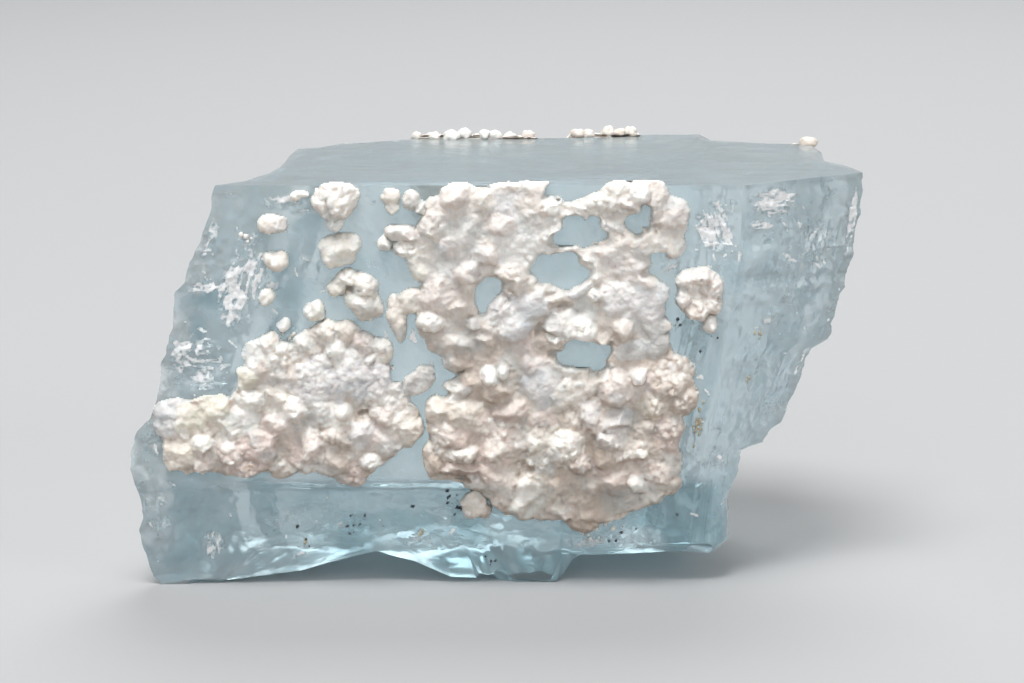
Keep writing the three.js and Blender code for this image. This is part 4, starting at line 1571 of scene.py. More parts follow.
@dataclass(frozen=True)
class AlbiteGrowth:
    """One growth of albite: a relief of grains over a face, closed behind, just inside the topaz."""

    node: str
    slot: str
    face: Face
    grains: tuple[Grain, ...]
    crust: Crust | None = None
    seed: int = 1
    step: float = 0.1
    sunk: float = -0.05
    wall: float = 0.4
    thinnest: float = 0.1
    deepest_pit: float = 0.3
    # How brown the painted shade in low hollows gets, partly real brown staining.
    browned: float = 0.0
    crease: float = 0.42

    def surface(self, x: Array, z: Array) -> Array:
        """Y of the topaz behind each place: its skin in front, the face's leaning plane at the back."""
        outline = TOPAZ.outline
        if self.face.facing < 0.0:
            return TOPAZ.skin_at(x, np.clip(z, 0.0, outline.top_z))
        reach = smooth(np.array(self.face.plane - outline.front_y), 14.0, 26.0)
        return self.face.plane - outline.back_lean * reach * np.maximum(1.0 - z / outline.top_z, 0.0)

    def relief(self) -> Relief:
        """Heights and tones of all its grains on a grid; the highest grain shows at each place.

        Returns:
            The relief, cut off a little above the top of its node.
        """
        filling = self.crust.filling(self.seed, self.grains) if self.crust else []
        grown = filling + list(self.grains)
        reach = np.array([[g.x, g.z, max(g.width, g.height)] for g in grown])
        low = (reach[:, :2] - reach[:, 2:]).min(axis=0)
        high = (reach[:, :2] + reach[:, 2:]).max(axis=0)
        x, z = np.meshgrid(np.arange(low[0], high[0], self.step), np.arange(low[1], high[1], self.step))
        tone = np.tile(BEIGE.linear(), x.shape + (1,))
        made = Relief(x, z, np.full(x.shape, -1.0), tone, self.step, self.seed)
        bend_x, bend_z = (
            0.2 * made.noise(1.6, layer, 5) + 0.17 * made.noise(0.42, layer, 6, 3, 0.55)
            for layer in (3.0, 9.0)
        )
        rough = np.full(x.shape, 0.5)
        if self.crust:
            bed = np.maximum(0.6 + 0.35 * made.noise(2.2, 0.5, 40), 0.25)
            within = self.crust.inside(x + 2.0 * bend_x, z + 2.0 * bend_z)
            made.height = np.where(within, bed, made.height)
        for number, grain in enumerate(grown):
            part = window(x, z, grain.x, grain.z, max(grain.width, grain.height))
            at_x, at_z, before = x[part] + bend_x[part], z[part] + bend_z[part], made.height[part]
            if grain.habit is BOWL:
                across, up = (at_x - grain.x) / grain.width, (at_z - grain.z) / grain.height
                distance = np.hypot(across * 2.0, up * 2.0)
                bowl = grain.rise + 1.4 * distance**2
                cut = (distance < 1.2) & (bowl < before)
                made.height[part] = np.where(cut, bowl, before)
                # Bowls take their tone, mostly brown: painted shade in the hollow, partly real brown
                # staining.
                made.tint(grain.tone, 0.8 * cut, part)
                continue
            rise = grain.profile(at_x, at_z, self.seed * 1000 + number)
            shows = smooth(rise - before, -0.2, 0.2)
            made.height[part] = soft_max(before, rise, self.crease)
            made.tint(grain.tone, shows, part)
            rough[part] = mix(rough[part], {TUFT: 1.0, PLATE: 0.0}.get(grain.habit, 0.4), shows)
        if self.crust:
            self.crust.fill(made, grown)
        made.weather(rough)
        made.sprinkle()
        top = max(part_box(self.node)[1][2] / MM, TOPAZ.outline.top_z + 0.2)
        made.height = made.height - 7.0 * np.maximum(z - top + 0.1, 0.0)
        return made

    def build(self) -> Object:
        """Builds the closed relief in place of its node.

        The kept cells become the front; its rim is drawn back by the wall's depth and the back is
        filled across.

        Returns:
            The growth's object.
        """
        relief = self.relief()
        over = blurred(np.clip(relief.height + self.sunk, -0.6, 0.6), 1, 6) > 0.0
        cells = solid_cells(over | (blurred(over.astype(float), 1, 12) > 0.6))
        height = np.maximum(relief.height, self.thinnest - self.sunk)
        relief.height = np.maximum(height, blurred(height, 1, 9) - self.deepest_pit)
        # Paints shade into hollows and under grains and highlights on crests, with brown staining low down.
        relief.painted_light_and_stain(self.browned)
        y = self.surface(relief.x, relief.z) + self.face.facing * relief.height
        quads = cell_quads(cells)
        if self.face.facing > 0.0:
            quads = quads[:, ::-1]
        used, renumbered = np.unique(quads, return_inverse=True)
        points = spread(relief.x, y, relief.z).reshape(-1, 3)[used] * MM
        made = mesh_object(self.node, points, renumbered.reshape(-1, 4))
        reshape(made, self.close)
        tones = np.tile(CREAM.linear(), (len(made.data.vertices), 1))
        tones[: len(used)] = relief.tone.reshape(-1, 3)[used]
        give_tones(made, tones)
        shade(made, 60.0)
        return dress(made, AlbiteFinish().make(), self.node)

    def close(self, work: bmesh.types.BMesh) -> None:
        """Draws the rim of an open relief back into the topaz and fills it there."""
        rim = [edge for edge in work.edges if edge.is_boundary]
        drawn = bmesh.ops.extrude_edge_only(work, edges=rim)["geom"]
        for vertex in (item for item in drawn if isinstance(item, bmesh.types.BMVert)):
            vertex.co.y -= self.face.facing * self.wall * MM
        far = [edge for edge in work.edges if edge.is_boundary]
        backwards = (0.0, -self.face.facing, 0.0)
        bmesh.ops.triangle_fill(work, edges=far, use_beauty=False, normal=backwards)


MAIN_CRUST = Crust(
    outline=(
        (-5.2, 34.6), (-0.5, 34.7), (4.7, 34.7), (5.6, 33.1), (9.6, 34.6), (12.7, 34.7), (13.0, 33.4),
        (16.0, 33.0), (15.8, 31.0), (13.2, 27.4), (14.3, 21.2), (17.0, 17.3), (14.7, 13.4), (14.6, 8.8),
        (10.4, 5.6), (3.5, 5.6), (-0.3, 7.3), (-0.5, 9.0), (-5.9, 9.4), (-6.0, 16.2), (-2.5, 18.6),
        (-7.0, 22.1), (-6.4, 26.7), (-5.2, 30.5),
    ),
    tones=(BEIGE, PINK, BEIGE, GREY, CREAM),
    gaps=(
        (4.9, 27.6, 4.2, 2.2), (6.5, 20.3, 2.8, 1.3), (8.4, 19.7, 2.0, 2.0), (-0.4, 25.8, 1.8, 2.8),
        (11.9, 31.8, 1.8, 2.2), (6.2, 30.6, 2.2, 2.0), (7.6, 31.2, 1.8, 1.2), (-4.9, 18.3, 2.2, 1.5),
        (5.2, 34.2, 2.4, 1.4), (13.6, 28.2, 2.0, 1.6),
    ),
)
MAIN_GRAINS = grains(
    (-3.7, 33.9, 2.8, 2.2, 2.2, PINK, BALL, 12), (-5.0, 31.9, 2.9, 3.2, 1.6, BEIGE, BLOCK, -20),
    (-2.3, 31.6, 3.3, 3.2, 1.5, BEIGE, BLOCK, 15), (-3.6, 29.8, 3.0, 2.0, 1.8, PINK, BLOCK, 10),
    (-1.2, 29.4, 2.6, 2.2, 1.7, PINK, BLOCK, -12), (-2.7, 27.8, 2.5, 2.2, 2.4, PINK, BALL, 30),
    (-2.7, 26.4, 1.0, 1.1, 1.6, CREAM, BALL), (-5.1, 25.6, 2.9, 2.8, 1.9, PINK, BLOCK, -18),
    (-3.2, 24.6, 2.6, 2.4, 1.7, BEIGE, BLOCK, 24), (-5.7, 23.2, 2.5, 1.7, 2.2, WHITE, TUFT),
    (-2.1, 23.1, 1.2, 1.3, 1.6, GREY, BALL), (-4.2, 19.8, 1.2, 1.6, 1.2, GREY, BLOCK, 20),
    (-3.9, 21.3, 3.6, 1.9, 1.7, BEIGE, BLOCK, -8), (-1.4, 21.8, 2.4, 1.7, 1.6, BEIGE, BLOCK, -20),
    (2.1, 34.5, 5.0, 1.3, 1.0, BEIGE, BLOCK, 2), (0.8, 33.0, 3.4, 2.6, 0.9, LAVENDER, PLATE, 30),
    (2.6, 31.6, 3.6, 3.2, 0.95, WHITE, PLATE, -22), (1.4, 30.2, 3.6, 3.0, 0.9, WHITE, PLATE, -35),
    (1.2, 28.8, 2.4, 2.0, 0.8, LAVENDER, PLATE, -30), (3.2, 29.2, 3.0, 2.6, 0.9, WHITE, PLATE, 40),
    (2.2, 27.2, 2.0, 1.8, 0.8, WHITE, PLATE, 42), (4.4, 33.3, 1.7, 1.9, 1.6, WHITE, TUFT),
    (6.2, 32.2, 2.4, 1.7, 1.1, CREAM, TUFT, 30), (7.9, 33.1, 2.7, 1.8, 1.3, CREAM, TUFT, 35),
    (9.9, 34.1, 2.4, 1.9, 1.5, CREAM, BLOCK, 30), (8.8, 31.5, 3.3, 1.4, 1.2, GREY, TUFT),
    (11.9, 34.1, 1.8, 1.9, 2.2, WHITE, TUFT), (11.4, 33.5, 1.9, 1.4, 1.6, PINK, BLOCK, -20),
    (14.2, 32.5, 3.2, 2.4, 1.3, PINK, BLOCK, 6), (13.2, 30.1, 3.3, 2.2, 1.4, CREAM, BLOCK, -8),
    (15.0, 29.7, 1.6, 1.6, 0.8, GREY, BLOCK, 30), (7.3, 28.3, 2.6, 2.3, 1.2, CREAM, BLOCK, 20),
    (9.3, 28.9, 2.8, 2.2, 1.3, PINK, BLOCK, 15), (11.3, 27.6, 3.0, 2.2, 1.4, PINK, BLOCK, -10),
    (6.3, 26.9, 3.2, 2.2, 1.3, LAVENDER, PLATE, -35), (8.1, 27.2, 1.1, 1.1, 1.9, WHITE, BALL),
    (8.2, 25.6, 1.6, 1.2, 1.8, WHITE, TUFT), (10.3, 25.3, 2.8, 2.4, 1.4, LAVENDER, PLATE, 12),
    (12.4, 25.0, 2.9, 3.0, 1.5, LAVENDER, PLATE, -15), (0.2, 24.4, 3.2, 2.6, 1.5, LAVENDER, BLOCK, 35),
    (1.2, 22.9, 3.2, 2.8, 1.7, LAVENDER, BALL, 20), (3.2, 24.8, 3.0, 2.2, 1.4, LAVENDER, PLATE, 30),
    (5.7, 24.6, 4.2, 1.6, 0.35, BROWN_STAIN_AND_SHADE, BOWL), (3.6, 22.6, 2.4, 2.4, 0.35, BROWN_STAIN_AND_SHADE, BOWL),
    (5.2, 23.2, 2.8, 2.4, 2.1, GREY, BLOCK, -20), (6.9, 22.5, 2.8, 2.6, 2.4, WHITE, TUFT, -25),
    (4.8, 21.9, 1.6, 1.1, 2.0, WHITE, TUFT), (5.0, 20.6, 3.2, 1.3, 0.2, BEIGE, BOWL),
    (10.6, 22.5, 1.7, 2.1, 2.4, BEIGE, BALL), (12.4, 21.1, 4.0, 1.5, 1.2, GREY, PLATE, 8),
    (13.2, 22.9, 1.8, 2.0, 1.2, GREY, PLATE, 40), (-0.9, 18.7, 1.5, 1.9, 2.0, WHITE, TUFT, 30),
    (0.3, 18.9, 1.1, 1.3, 1.8, WHITE, TUFT), (-0.2, 17.3, 2.6, 2.2, 2.1, BEIGE, BLOCK, -25),
    (0.8, 15.3, 3.2, 2.0, 2.0, PINK, BLOCK, 22), (0.3, 12.4, 3.5, 2.8, 2.2, PINK, BLOCK, 18),
    (3.2, 12.9, 2.3, 3.4, 2.0, CREAM, BLOCK, 25), (5.6, 12.2, 2.9, 2.9, 2.5, WHITE, TUFT, 30),
    (6.8, 11.0, 2.2, 1.8, 2.3, PINK, TUFT, -20), (3.6, 17.6, 2.7, 2.6, 1.5, LAVENDER, PLATE, 33),
    (5.5, 16.8, 2.6, 2.3, 1.6, CREAM, PLATE, 33), (3.6, 14.9, 2.9, 2.0, 1.7, PINK, BLOCK, 28),
    (6.0, 14.8, 2.3, 2.2, 1.6, BEIGE, BLOCK, 30), (10.1, 17.6, 3.4, 3.3, 2.5, PINK, BALL),
    (11.8, 18.7, 1.5, 1.5, 2.7, WHITE, TUFT), (14.2, 17.6, 3.3, 2.5, 1.9, BEIGE, TUFT, -20),
    (15.4, 16.3, 2.6, 2.4, 1.6, BEIGE, TUFT, 30), (12.9, 16.0, 2.8, 2.4, 1.8, CREAM, TUFT),
    (7.7, 15.2, 1.7, 2.3, 2.2, LAVENDER, BALL, 12), (10.0, 14.7, 2.6, 1.6, 2.4, LAVENDER, BLOCK, 8),
    (9.6, 13.1, 2.8, 1.8, 2.5, LAVENDER, BLOCK, 4), (12.2, 12.0, 1.5, 1.4, 2.2, WHITE, TUFT),
    (12.8, 13.8, 2.6, 2.2, 1.8, BEIGE, BLOCK, 20), (14.3, 12.6, 2.0, 2.6, 1.6, PINK, BLOCK, -15),
    (13.5, 10.0, 2.3, 2.6, 1.8, PINK, BALL, 15), (9.8, 9.1, 2.6, 2.1, 2.2, PINK, BLOCK, 4),
    (12.0, 9.2, 2.0, 1.6, 2.1, WHITE, BLOCK, -30), (9.4, 11.6, 2.6, 2.2, 1.9, BEIGE, BLOCK, -12),
    (-5.0, 15.6, 2.2, 2.2, 1.7, CREAM, BLOCK, 10), (-3.0, 15.4, 2.9, 2.6, 2.0, CREAM, BLOCK, -12),
    (-4.2, 13.4, 3.2, 2.0, 2.0, PINK, BLOCK, -6), (-5.6, 11.2, 1.6, 2.6, 1.5, BEIGE, BLOCK, 6),
    (-3.2, 11.9, 2.9, 1.6, 2.2, WHITE, TUFT), (-3.2, 10.6, 3.2, 1.3, 1.8, PINK, BLOCK, -5),
    (-3.2, 9.6, 2.4, 1.0, 0.2, BROWN_STAIN_AND_SHADE, BOWL), (-0.3, 9.9, 2.2, 3.0, 2.0, PINK, BLOCK, 22),
    (2.2, 10.4, 2.6, 1.6, 0.6, BROWN_STAIN_AND_SHADE, BOWL), (2.4, 7.7, 2.4, 3.5, 2.5, WHITE, BLOCK, -28),
    (0.8, 8.0, 2.2, 2.8, 2.0, PINK, BLOCK, -20), (5.0, 8.6, 3.0, 2.6, 1.9, BEIGE, BLOCK, 20),
    (7.2, 8.3, 2.8, 2.6, 1.8, BEIGE, BLOCK, -14), (5.4, 6.6, 2.8, 1.8, 1.7, PINK, BLOCK, 8),
    (8.2, 6.5, 2.6, 1.8, 1.6, BEIGE, BLOCK, -6), (10.9, 7.4, 2.2, 1.8, 1.5, GREY, BLOCK, 10),
    (-8.2, 30.7, 2.6, 1.2, 1.3, PINK, BLOCK, -6), (-9.7, 29.9, 1.2, 1.2, 1.1, CREAM, BALL),
    (-7.9, 29.4, 2.2, 1.4, 1.1, CREAM, TUFT), (-7.1, 28.1, 1.5, 2.5, 1.1, YELLOW, BLOCK, 22),
    (-8.6, 23.4, 1.5, 3.6, 1.2, CREAM, BALL, 8), (-7.4, 25.0, 2.0, 1.8, 1.3, CREAM, BLOCK, 15),
    (-6.4, 28.7, 1.7, 1.4, 0.7, CREAM),
)
LEFT_CRUST = Crust(
    outline=(
        (-28.6, 12.8), (-27.4, 15.8), (-22.3, 16.8), (-21.8, 18.4), (-20.6, 18.9), (-20.0, 21.6),
        (-18.7, 21.6), (-18.3, 20.2), (-16.6, 21.4), (-14.0, 22.4), (-11.6, 21.0), (-9.9, 21.0),
        (-9.2, 18.2), (-6.8, 15.2), (-8.8, 11.6), (-10.9, 9.8), (-19.4, 10.3), (-24.2, 9.9),
        (-28.4, 10.3),
    ),
    tones=(CREAM, PINK, LAVENDER, BEIGE, WHITE),
    rise=(0.6, 1.5),
)
LEFT_GRAINS = grains(
    (-16.3, 21.3, 2.0, 2.2, 1.2, CREAM, BALL, 30), (-14.7, 22.2, 2.6, 1.9, 1.4, CREAM, TUFT, 30),
    (-13.0, 22.4, 2.0, 1.7, 1.3, PEACH, BALL, 4), (-11.6, 21.4, 2.0, 1.5, 1.4, PINK, TUFT, -35),
    (-10.0, 20.9, 1.8, 2.0, 1.2, CREAM, BALL, 10), (-14.0, 20.9, 2.0, 1.7, 1.5, WHITE, TUFT),
    (-11.0, 20.1, 1.1, 1.1, 1.6, WHITE, BALL), (-19.4, 21.4, 1.5, 1.4, 1.3, CREAM, BLOCK, 20),
    (-19.3, 19.6, 1.6, 1.4, 1.2, YELLOW, BALL), (-21.2, 18.3, 1.9, 1.8, 1.5, YELLOW, BLOCK, 12),
    (-21.0, 16.6, 2.6, 1.8, 1.5, WHITE, TUFT), (-19.4, 16.8, 2.6, 2.4, 1.4, CREAM, BLOCK, -16),
    (-26.3, 14.6, 2.6, 2.4, 1.5, YELLOW, BLOCK, -14), (-24.4, 15.6, 2.9, 1.9, 1.4, YELLOW, BLOCK, 10),
    (-23.0, 14.2, 2.6, 2.6, 1.7, CREAM, BLOCK, 22), (-27.2, 11.9, 3.0, 2.6, 1.9, CREAM, BLOCK, 8),
    (-25.3, 12.7, 1.8, 1.5, 2.1, WHITE, TUFT), (-25.3, 11.0, 1.9, 1.8, 1.7, PINK, BALL),
    (-22.6, 12.2, 3.2, 2.9, 2.1, PINK, TUFT, 14), (-20.4, 12.4, 2.6, 3.0, 2.2, PINK, BLOCK, -18),
    (-21.6, 10.7, 3.6, 1.8, 2.0, PINK, TUFT, 4), (-21.4, 10.9, 2.6, 1.1, 1.7, BROWN_STAIN_AND_SHADE, BOWL),
    (-17.4, 15.9, 2.0, 2.3, 1.8, WHITE, TUFT), (-18.9, 14.4, 2.4, 2.0, 1.8, PINK, BLOCK, 16),
    (-15.6, 18.4, 3.2, 2.9, 1.4, LAVENDER, PLATE, 34),
    (-12.9, 18.4, 3.4, 2.8, 1.5, LAVENDER, PLATE, 30),
    (-10.6, 17.9, 2.6, 2.8, 1.3, LAVENDER, PLATE, -22), (-13.2, 15.4, 1.4, 1.2, 2.3, WHITE, BALL),
    (-15.2, 15.6, 2.2, 2.4, 1.6, GREY, BLOCK, 26), (-11.5, 15.4, 2.0, 1.2, 0.3, BROWN_STAIN_AND_SHADE, BOWL),
    (-10.0, 15.0, 2.2, 2.2, 1.7, PINK, BLOCK, 12), (-7.9, 14.1, 2.6, 2.8, 1.6, CREAM, BLOCK, 30),
    (-16.5, 12.2, 2.5, 3.4, 2.0, PINK, BLOCK, -12), (-13.9, 13.4, 3.0, 2.5, 1.9, BEIGE, BLOCK, 24),
    (-11.8, 13.6, 2.4, 2.4, 1.9, LAVENDER, BLOCK, -20), (-9.7, 12.8, 2.4, 2.6, 1.8, PINK, BLOCK, 32),
    (-13.9, 11.2, 2.8, 2.2, 1.8, BEIGE, BLOCK, -8), (-11.0, 11.1, 1.9, 1.6, 2.1, WHITE, TUFT),
)
BACK_CRUST = Crust(
    outline=(
        (-7.2, 34.6), (-1.6, 34.6), (-1.2, 30.8), (-3.2, 27.2), (-6.4, 28.2),
    ),
    tones=(WHITE, CREAM, BEIGE),
    rise=(0.6, 1.3),
)
SMALL_GROWTHS = (
    ("albite_top_left_nodule", "albite_cream", grains(
        (-13.7, 33.6, 3.5, 3.0, 2.1, CREAM, TUFT), (-13.2, 33.5, 1.1, 1.3, 2.2, GREY, BALL),
        (-13.9, 31.7, 1.6, 1.5, 1.5, WHITE, TUFT),
    )),
    ("albite_yellow_block", "albite_yellow", grains(
        (-13.7, 29.3, 2.8, 2.6, 1.6, YELLOW, BLOCK, 14), (-12.6, 29.8, 1.7, 1.6, 1.5, YELLOW, BALL),
        (-14.2, 28.7, 1.5, 1.3, 1.3, CREAM, BALL),
    )),
    ("albite_ring_cluster", "albite_yellow", grains(
        (-12.8, 26.9, 2.0, 1.6, 1.4, YELLOW, TUFT), (-11.4, 26.3, 2.2, 2.0, 1.8, CREAM, TUFT),
        (-11.2, 24.6, 2.5, 2.2, 2.0, CREAM, BLOCK, 20), (-12.4, 25.2, 1.6, 1.6, 1.5, YELLOW, BALL),
        (-13.7, 26.0, 1.4, 1.5, 1.2, YELLOW, BALL), (-12.7, 26.1, 0.8, 0.6, -0.4, BEIGE, BOWL),
    )),
    ("albite_flat_grain", "albite_grey", grains(
        (-17.0, 34.0, 1.2, 0.8, 0.8, GREY, BLOCK, 4), (-16.4, 34.1, 0.8, 0.6, 0.7, CREAM, BALL),
    )),
    ("albite_grey_nodule", "albite_cream", grains(
        (-19.6, 31.5, 1.6, 1.4, 1.3, CREAM, BALL), (-18.6, 31.5, 1.6, 1.3, 1.3, GREY, BLOCK, 8),
        (-19.1, 31.9, 1.4, 0.6, 1.2, WHITE, BALL),
    )),
    ("albite_peach_grain", "albite_peach", grains(
        (-18.7, 28.3, 1.8, 1.8, 1.4, PEACH, BALL), (-19.4, 28.7, 1.1, 1.1, 1.2, CREAM, TUFT),
    )),
    ("albite_small_yellow_grain", "albite_yellow", grains(
        (-19.6, 25.2, 1.2, 1.4, 0.9, YELLOW, BALL), (-19.8, 24.8, 0.7, 0.7, 0.8, PEACH, BALL),
    )),
    ("albite_tipped_grain", "albite_yellow", grains(
        (-15.6, 24.1, 1.6, 1.6, 1.3, YELLOW, BLOCK, 20), (-16.3, 24.0, 0.9, 1.0, 1.1, WHITE, TUFT),
    )),
    ("albite_edge_grain_left", "albite_cream", grains(
        (-9.1, 33.9, 1.4, 1.4, 1.1, CREAM, BALL), (-9.0, 33.0, 1.0, 1.0, 0.9, YELLOW, BLOCK, 30),
    )),
    ("albite_edge_grain_right", "albite_cream", grains(
        (-7.4, 33.6, 1.5, 1.5, 1.2, CREAM, BALL), (-6.5, 33.0, 1.0, 1.2, 1.0, CREAM, BLOCK, -20),
    )),
    ("albite_white_rhomb", "albite_white", grains(
        (-18.2, 22.9, 1.1, 1.0, 0.8, WHITE, BLOCK, 40),
    )),
    ("albite_glassy_rhomb", "albite_grey", grains(
        (-6.9, 18.1, 2.2, 1.6, 0.9, GREY, PLATE, 20), (-6.0, 18.4, 1.0, 1.0, 0.8, LAVENDER, PLATE, 40),
    )),
    ("albite_coil_grain", "albite_beige", grains(
        (17.0, 25.8, 3.0, 3.2, 0.9, BEIGE, BALL), (15.9, 26.8, 1.9, 1.6, 1.5, PINK, TUFT, 30),
        (17.2, 27.2, 2.0, 1.4, 1.6, PINK, TUFT), (18.3, 26.2, 1.4, 2.0, 1.4, PINK, TUFT),
        (18.1, 24.8, 1.5, 1.6, 1.4, BEIGE, TUFT), (16.9, 24.3, 2.0, 1.6, 1.7, BEIGE, TUFT, -20),
        (15.7, 25.2, 1.5, 2.0, 1.6, PINK, TUFT), (17.1, 25.9, 0.9, 1.3, 0.4, BROWN_STAIN_AND_SHADE, BOWL, 20),
        (17.2, 26.0, 0.7, 0.9, 1.0, BEIGE, TUFT), (17.9, 23.0, 1.3, 1.5, 1.2, GREY, BALL),
    )),
    ("albite_lower_plate", "albite_beige", grains(
        (-2.2, 7.1, 2.0, 2.2, 1.2, CREAM, PLATE, 30), (-1.5, 6.4, 1.5, 1.4, 1.0, BEIGE, BLOCK, -16),
    )),
)
BACK_GROWTHS = (
    ("albite_back_crust_left", "albite_white", BACK, 0.3, 0.45, BACK_CRUST, grains(
        (-6.9, 33.9, 1.6, 2.2, 1.5, WHITE, BLOCK, 12), (-4.8, 33.6, 3.0, 3.0, 1.8, WHITE, TUFT, 24),
        (-2.2, 33.9, 2.0, 2.4, 1.6, CREAM, BLOCK, 8),
    )),
    ("albite_back_crust_middle", "albite_peach", BACK, 0.3, 0.45, None, grains(
        (0.9, 33.8, 2.2, 2.4, 1.5, PEACH, BLOCK, 12), (2.9, 33.9, 1.8, 2.2, 1.3, PEACH, BALL, 36),
        (1.9, 32.0, 2.6, 2.2, 1.1, CREAM, TUFT),
    )),
    ("albite_back_crust_right", "albite_peach", BACK_RIGHT, -0.05, 1.0, None, grains(
        (7.6, 33.7, 2.2, 2.6, 1.5, PEACH, BLOCK, 12), (9.6, 33.5, 2.6, 3.2, 1.8, PEACH, TUFT, 30),
        (11.8, 33.7, 2.2, 2.6, 1.6, CREAM, BLOCK, 6),
    )),
    ("albite_back_corner_grain", "albite_peach", BACK_CORNER, -0.05, 1.0, None, grains(
        (27.2, 34.2, 1.5, 1.5, 1.3, PEACH, BALL, 24),
    )),
)


def albite() -> list[AlbiteGrowth]:
    """Every growth of albite on the topaz, front and back."""
    main = AlbiteGrowth(
        "albite_main_cluster", "albite_beige", FRONT, MAIN_GRAINS, MAIN_CRUST, 11, browned=1.0
    )
    left = AlbiteGrowth(
        "albite_left_cluster", "albite_cream", FRONT, LEFT_GRAINS, LEFT_CRUST, 23, browned=0.4
    )
    small = [
        AlbiteGrowth(node, slot, FRONT, grown, seed=seed)
        for seed, (node, slot, grown) in enumerate(SMALL_GROWTHS, start=31)
    ]
    behind = [
        AlbiteGrowth(node, slot, face, grown, crust, seed, sunk=sunk, wall=wall)
        for seed, (node, slot, face, sunk, wall, crust, grown) in enumerate(BACK_GROWTHS, start=45)
    ]
    return [main, left, *small, *behind]


@dataclass(frozen=True)
class EdgeGrains:
    """Small grains that peek over the back edge of the top face, in clumps of knobs, as one mesh.

    Each clump has its x, its y, its width, how far it peeks over the edge, and its tone.
    """

    clumps: tuple[tuple[float, float, float, float, Tone], ...] = (
        (-7.7, 14.3, 0.8, 0.5, CREAM), (-6.1, 14.3, 0.9, 0.45, CREAM), (-3.9, 14.3, 2.4, 0.7, WHITE),
        (-1.0, 14.4, 1.8, 0.75, WHITE), (0.9, 14.4, 1.0, 0.45, CREAM), (2.6, 14.5, 1.0, 0.55, PEACH),
        (7.7, 15.4, 1.9, 0.65, PEACH), (11.1, 16.3, 3.1, 0.7, PEACH), (28.2, 10.2, 1.1, 0.5, PEACH),
    )
    seed: int = 61
    rows: int = 14
    columns: int = 22
    knob_width: float = 1.1

    def build(self) -> Object:
        """Builds every knob as a ball of rows and columns, dented by noise, and joins them.

        Returns:
            The grains.
        """
        rng = np.random.default_rng(self.seed)
        tilt = np.linspace(0.0, math.pi, self.rows)[:, None]
        turn = np.linspace(0.0, 2.0 * math.pi, self.columns, endpoint=False)[None, :]
        flat = spread(np.sin(tilt) * np.cos(turn), np.sin(tilt) * np.sin(turn), np.cos(tilt))
        top = TOPAZ.outline.top_z
        points, tones = [], []
        for x, y, width, peek, tone in self.clumps:
            count = max(1, round(width / self.knob_width))
            for share in (np.arange(count) + 0.5) / count - 0.5:
                half = 0.66 * width / count * rng.uniform(0.85, 1.2, 3) * np.array([1.0, 1.2, 0.8])
                high = top + peek * rng.uniform(0.7, 1.05) - 0.75 * half[2]
                middle = np.array([x + share * width, y + rng.uniform(-0.1, 0.35), high])
                placed = flat * half
                dent = 1.0 + 0.5 * (0.4 - scalloped((placed + middle) / 0.42, self.seed))
                points.append((placed * dent[..., None] + middle).reshape(-1, 3))
                paler = mix(tone.linear(), WHITE.linear(), rng.uniform(0.0, 0.5))
                tones.append(np.tile(paler, (self.rows * self.columns, 1)))
        each = grid_faces(self.rows, self.columns, around=True)
        starts = np.arange(len(points)) * self.rows * self.columns
        quads = np.concatenate([each + start for start in starts])
        made = mesh_object("back_edge_grains", np.concatenate(points) * MM, quads)
        give_tones(made, np.concatenate(tones))
        reshape(made, lambda work: bmesh.ops.remove_doubles(work, verts=work.verts, dist=1e-7))
        shade(made, 60.0)
        return dress(made, AlbiteFinish("albite_back_edge").make())


# The studio


@dataclass(frozen=True)
class SoftLight:
    """A square area light that looks at the specimen."""

    name: str
    place: tuple[float, float, float]
    size: float
    power: float
    tint: tuple[float, float, float] = (1.0, 1.0, 1.0)

    def build(self, target: Vector) -> Object:
        """Hangs the light and turns it to the target."""
        lamp = bpy.data.lights.new(self.name, "AREA")
        lamp.shape = "SQUARE"
        lamp.size = self.size
        lamp.energy = self.power
        lamp.color = self.tint
        made = bpy.data.objects.new(self.name, lamp)
        made.location = self.place
        made.rotation_euler = (target - Vector(self.place)).to_track_quat("-Z", "Y").to_euler()
        bpy.context.scene.collection.objects.link(made)
        return made


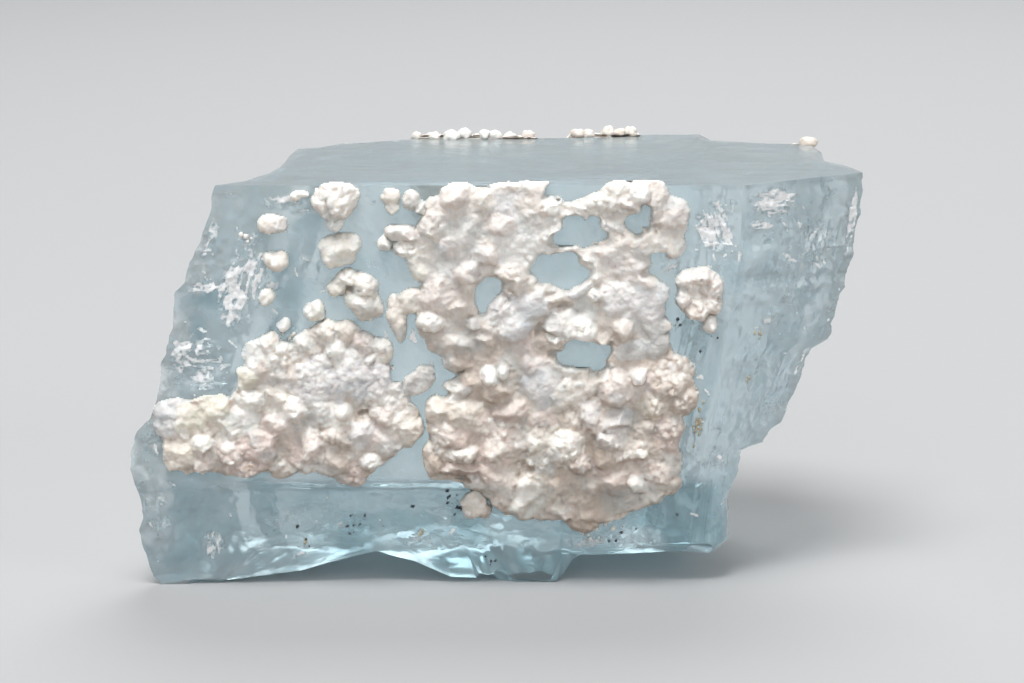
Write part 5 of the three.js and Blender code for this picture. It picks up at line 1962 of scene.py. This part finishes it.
@dataclass
class Studio:
    """Pale floor that curves up behind the specimen, soft lights, and the camera of the photograph."""

    target: tuple[float, float, float] = (1.1 * MM, -15.3 * MM, 21.4 * MM)
    distance: float = 0.300
    elevation: float = math.radians(11.0)
    focal_pixels: float = 3529.0
    picture_width: float = 1024.0
    sensor: float = 36.0
    floor_tone: Colour = (0.40, 0.405, 0.41, 1.0)
    floor_roughness: float = 0.9
    floor_reach: float = 2.5
    bend_start: float = 0.5
    bend_radius: float = 0.4
    sky: Colour = (0.50, 0.52, 0.55, 1.0)
    sky_strength: float = 0.24

    def camera(self) -> Object:
        """Camera at the photograph's angle: 11 degrees above the front face, with a long lens."""
        lens = bpy.data.cameras.new("camera")
        lens.sensor_width = self.sensor
        lens.lens = self.focal_pixels / self.picture_width * self.sensor
        lens.clip_start = 0.01
        lens.clip_end = 20.0
        made = bpy.data.objects.new("camera", lens)
        ahead = Vector((0.0, math.cos(self.elevation), -math.sin(self.elevation)))
        made.location = Vector(self.target) - ahead * self.distance
        made.rotation_euler = ahead.to_track_quat("-Z", "Y").to_euler()
        bpy.context.scene.collection.objects.link(made)
        bpy.context.scene.camera = made
        return made

    def floor(self) -> Object:
        """Floor and backdrop in one sweep: a level floor that turns up through a quarter circle.

        The profile is a line, a quarter circle and a line up, carried straight across.

        Returns:
            The floor's object.
        """
        radius, behind, reach = self.bend_radius, self.bend_start, self.floor_reach
        turn = np.linspace(0.0, math.pi / 2.0, 24)
        y = np.concatenate([[-reach], behind + radius * np.sin(turn), [behind + radius]])
        z = np.concatenate([[0.0], radius * (1.0 - np.cos(turn)), [reach]])
        x = np.linspace(-reach, reach, 2)
        points = spread(x[None, :], y[:, None], z[:, None]).reshape(-1, 3)
        made = mesh_object("floor", points, grid_faces(len(y), len(x), around=False)[:, ::-1])
        shade(made, 60.0)
        paper = bpy.data.materials.new("pale_paper")
        paper.use_nodes = True
        shader = paper.node_tree.nodes["Principled BSDF"]
        shader.inputs["Base Color"].default_value = self.floor_tone
        shader.inputs["Roughness"].default_value = self.floor_roughness
        made.data.materials.append(paper)
        return made

    def light(self) -> None:
        """Soft key from above and in front, a fill from each side, and a dim grey sky."""
        target = Vector(self.target)
        for lamp in (
            SoftLight("key", (-0.1, -0.25, 0.8), 0.36, 6.6),
            SoftLight("fill_front", (-0.15, -0.8, 0.5), 0.5, 2.0),
            SoftLight("fill_right", (0.7, -0.5, 0.3), 0.4, 1.5),
            SoftLight("fill_left", (-0.8, -0.2, 0.3), 0.5, 1.0),
            SoftLight("back", (0.1, 0.5, 0.6), 0.5, 4.5),
        ):
            lamp.build(target)
        world = bpy.data.worlds.new("studio")
        world.use_nodes = True
        background = world.node_tree.nodes["Background"]
        background.inputs["Color"].default_value = self.sky
        background.inputs["Strength"].default_value = self.sky_strength
        bpy.context.scene.world = world

    def build(self) -> None:
        """Sets up the camera, the floor, the lights and the plain colour handling."""
        self.camera()
        self.floor()
        self.light()
        bpy.context.scene.view_settings.view_transform = "Standard"


def main() -> None:
    """Builds the studio and the specimen, and reports each piece."""
    logging.basicConfig(level=logging.INFO, format="%(name)s: %(message)s")
    Studio().build()
    for piece in (TOPAZ, *INCLUSIONS, FrostAndGlintSheet(), EdgeGrains(), *albite()):
        made = piece.build()
        LOG.info("%s: %d faces", made.name, len(made.data.polygons))
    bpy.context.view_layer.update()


if __name__ == "__main__":
    main()
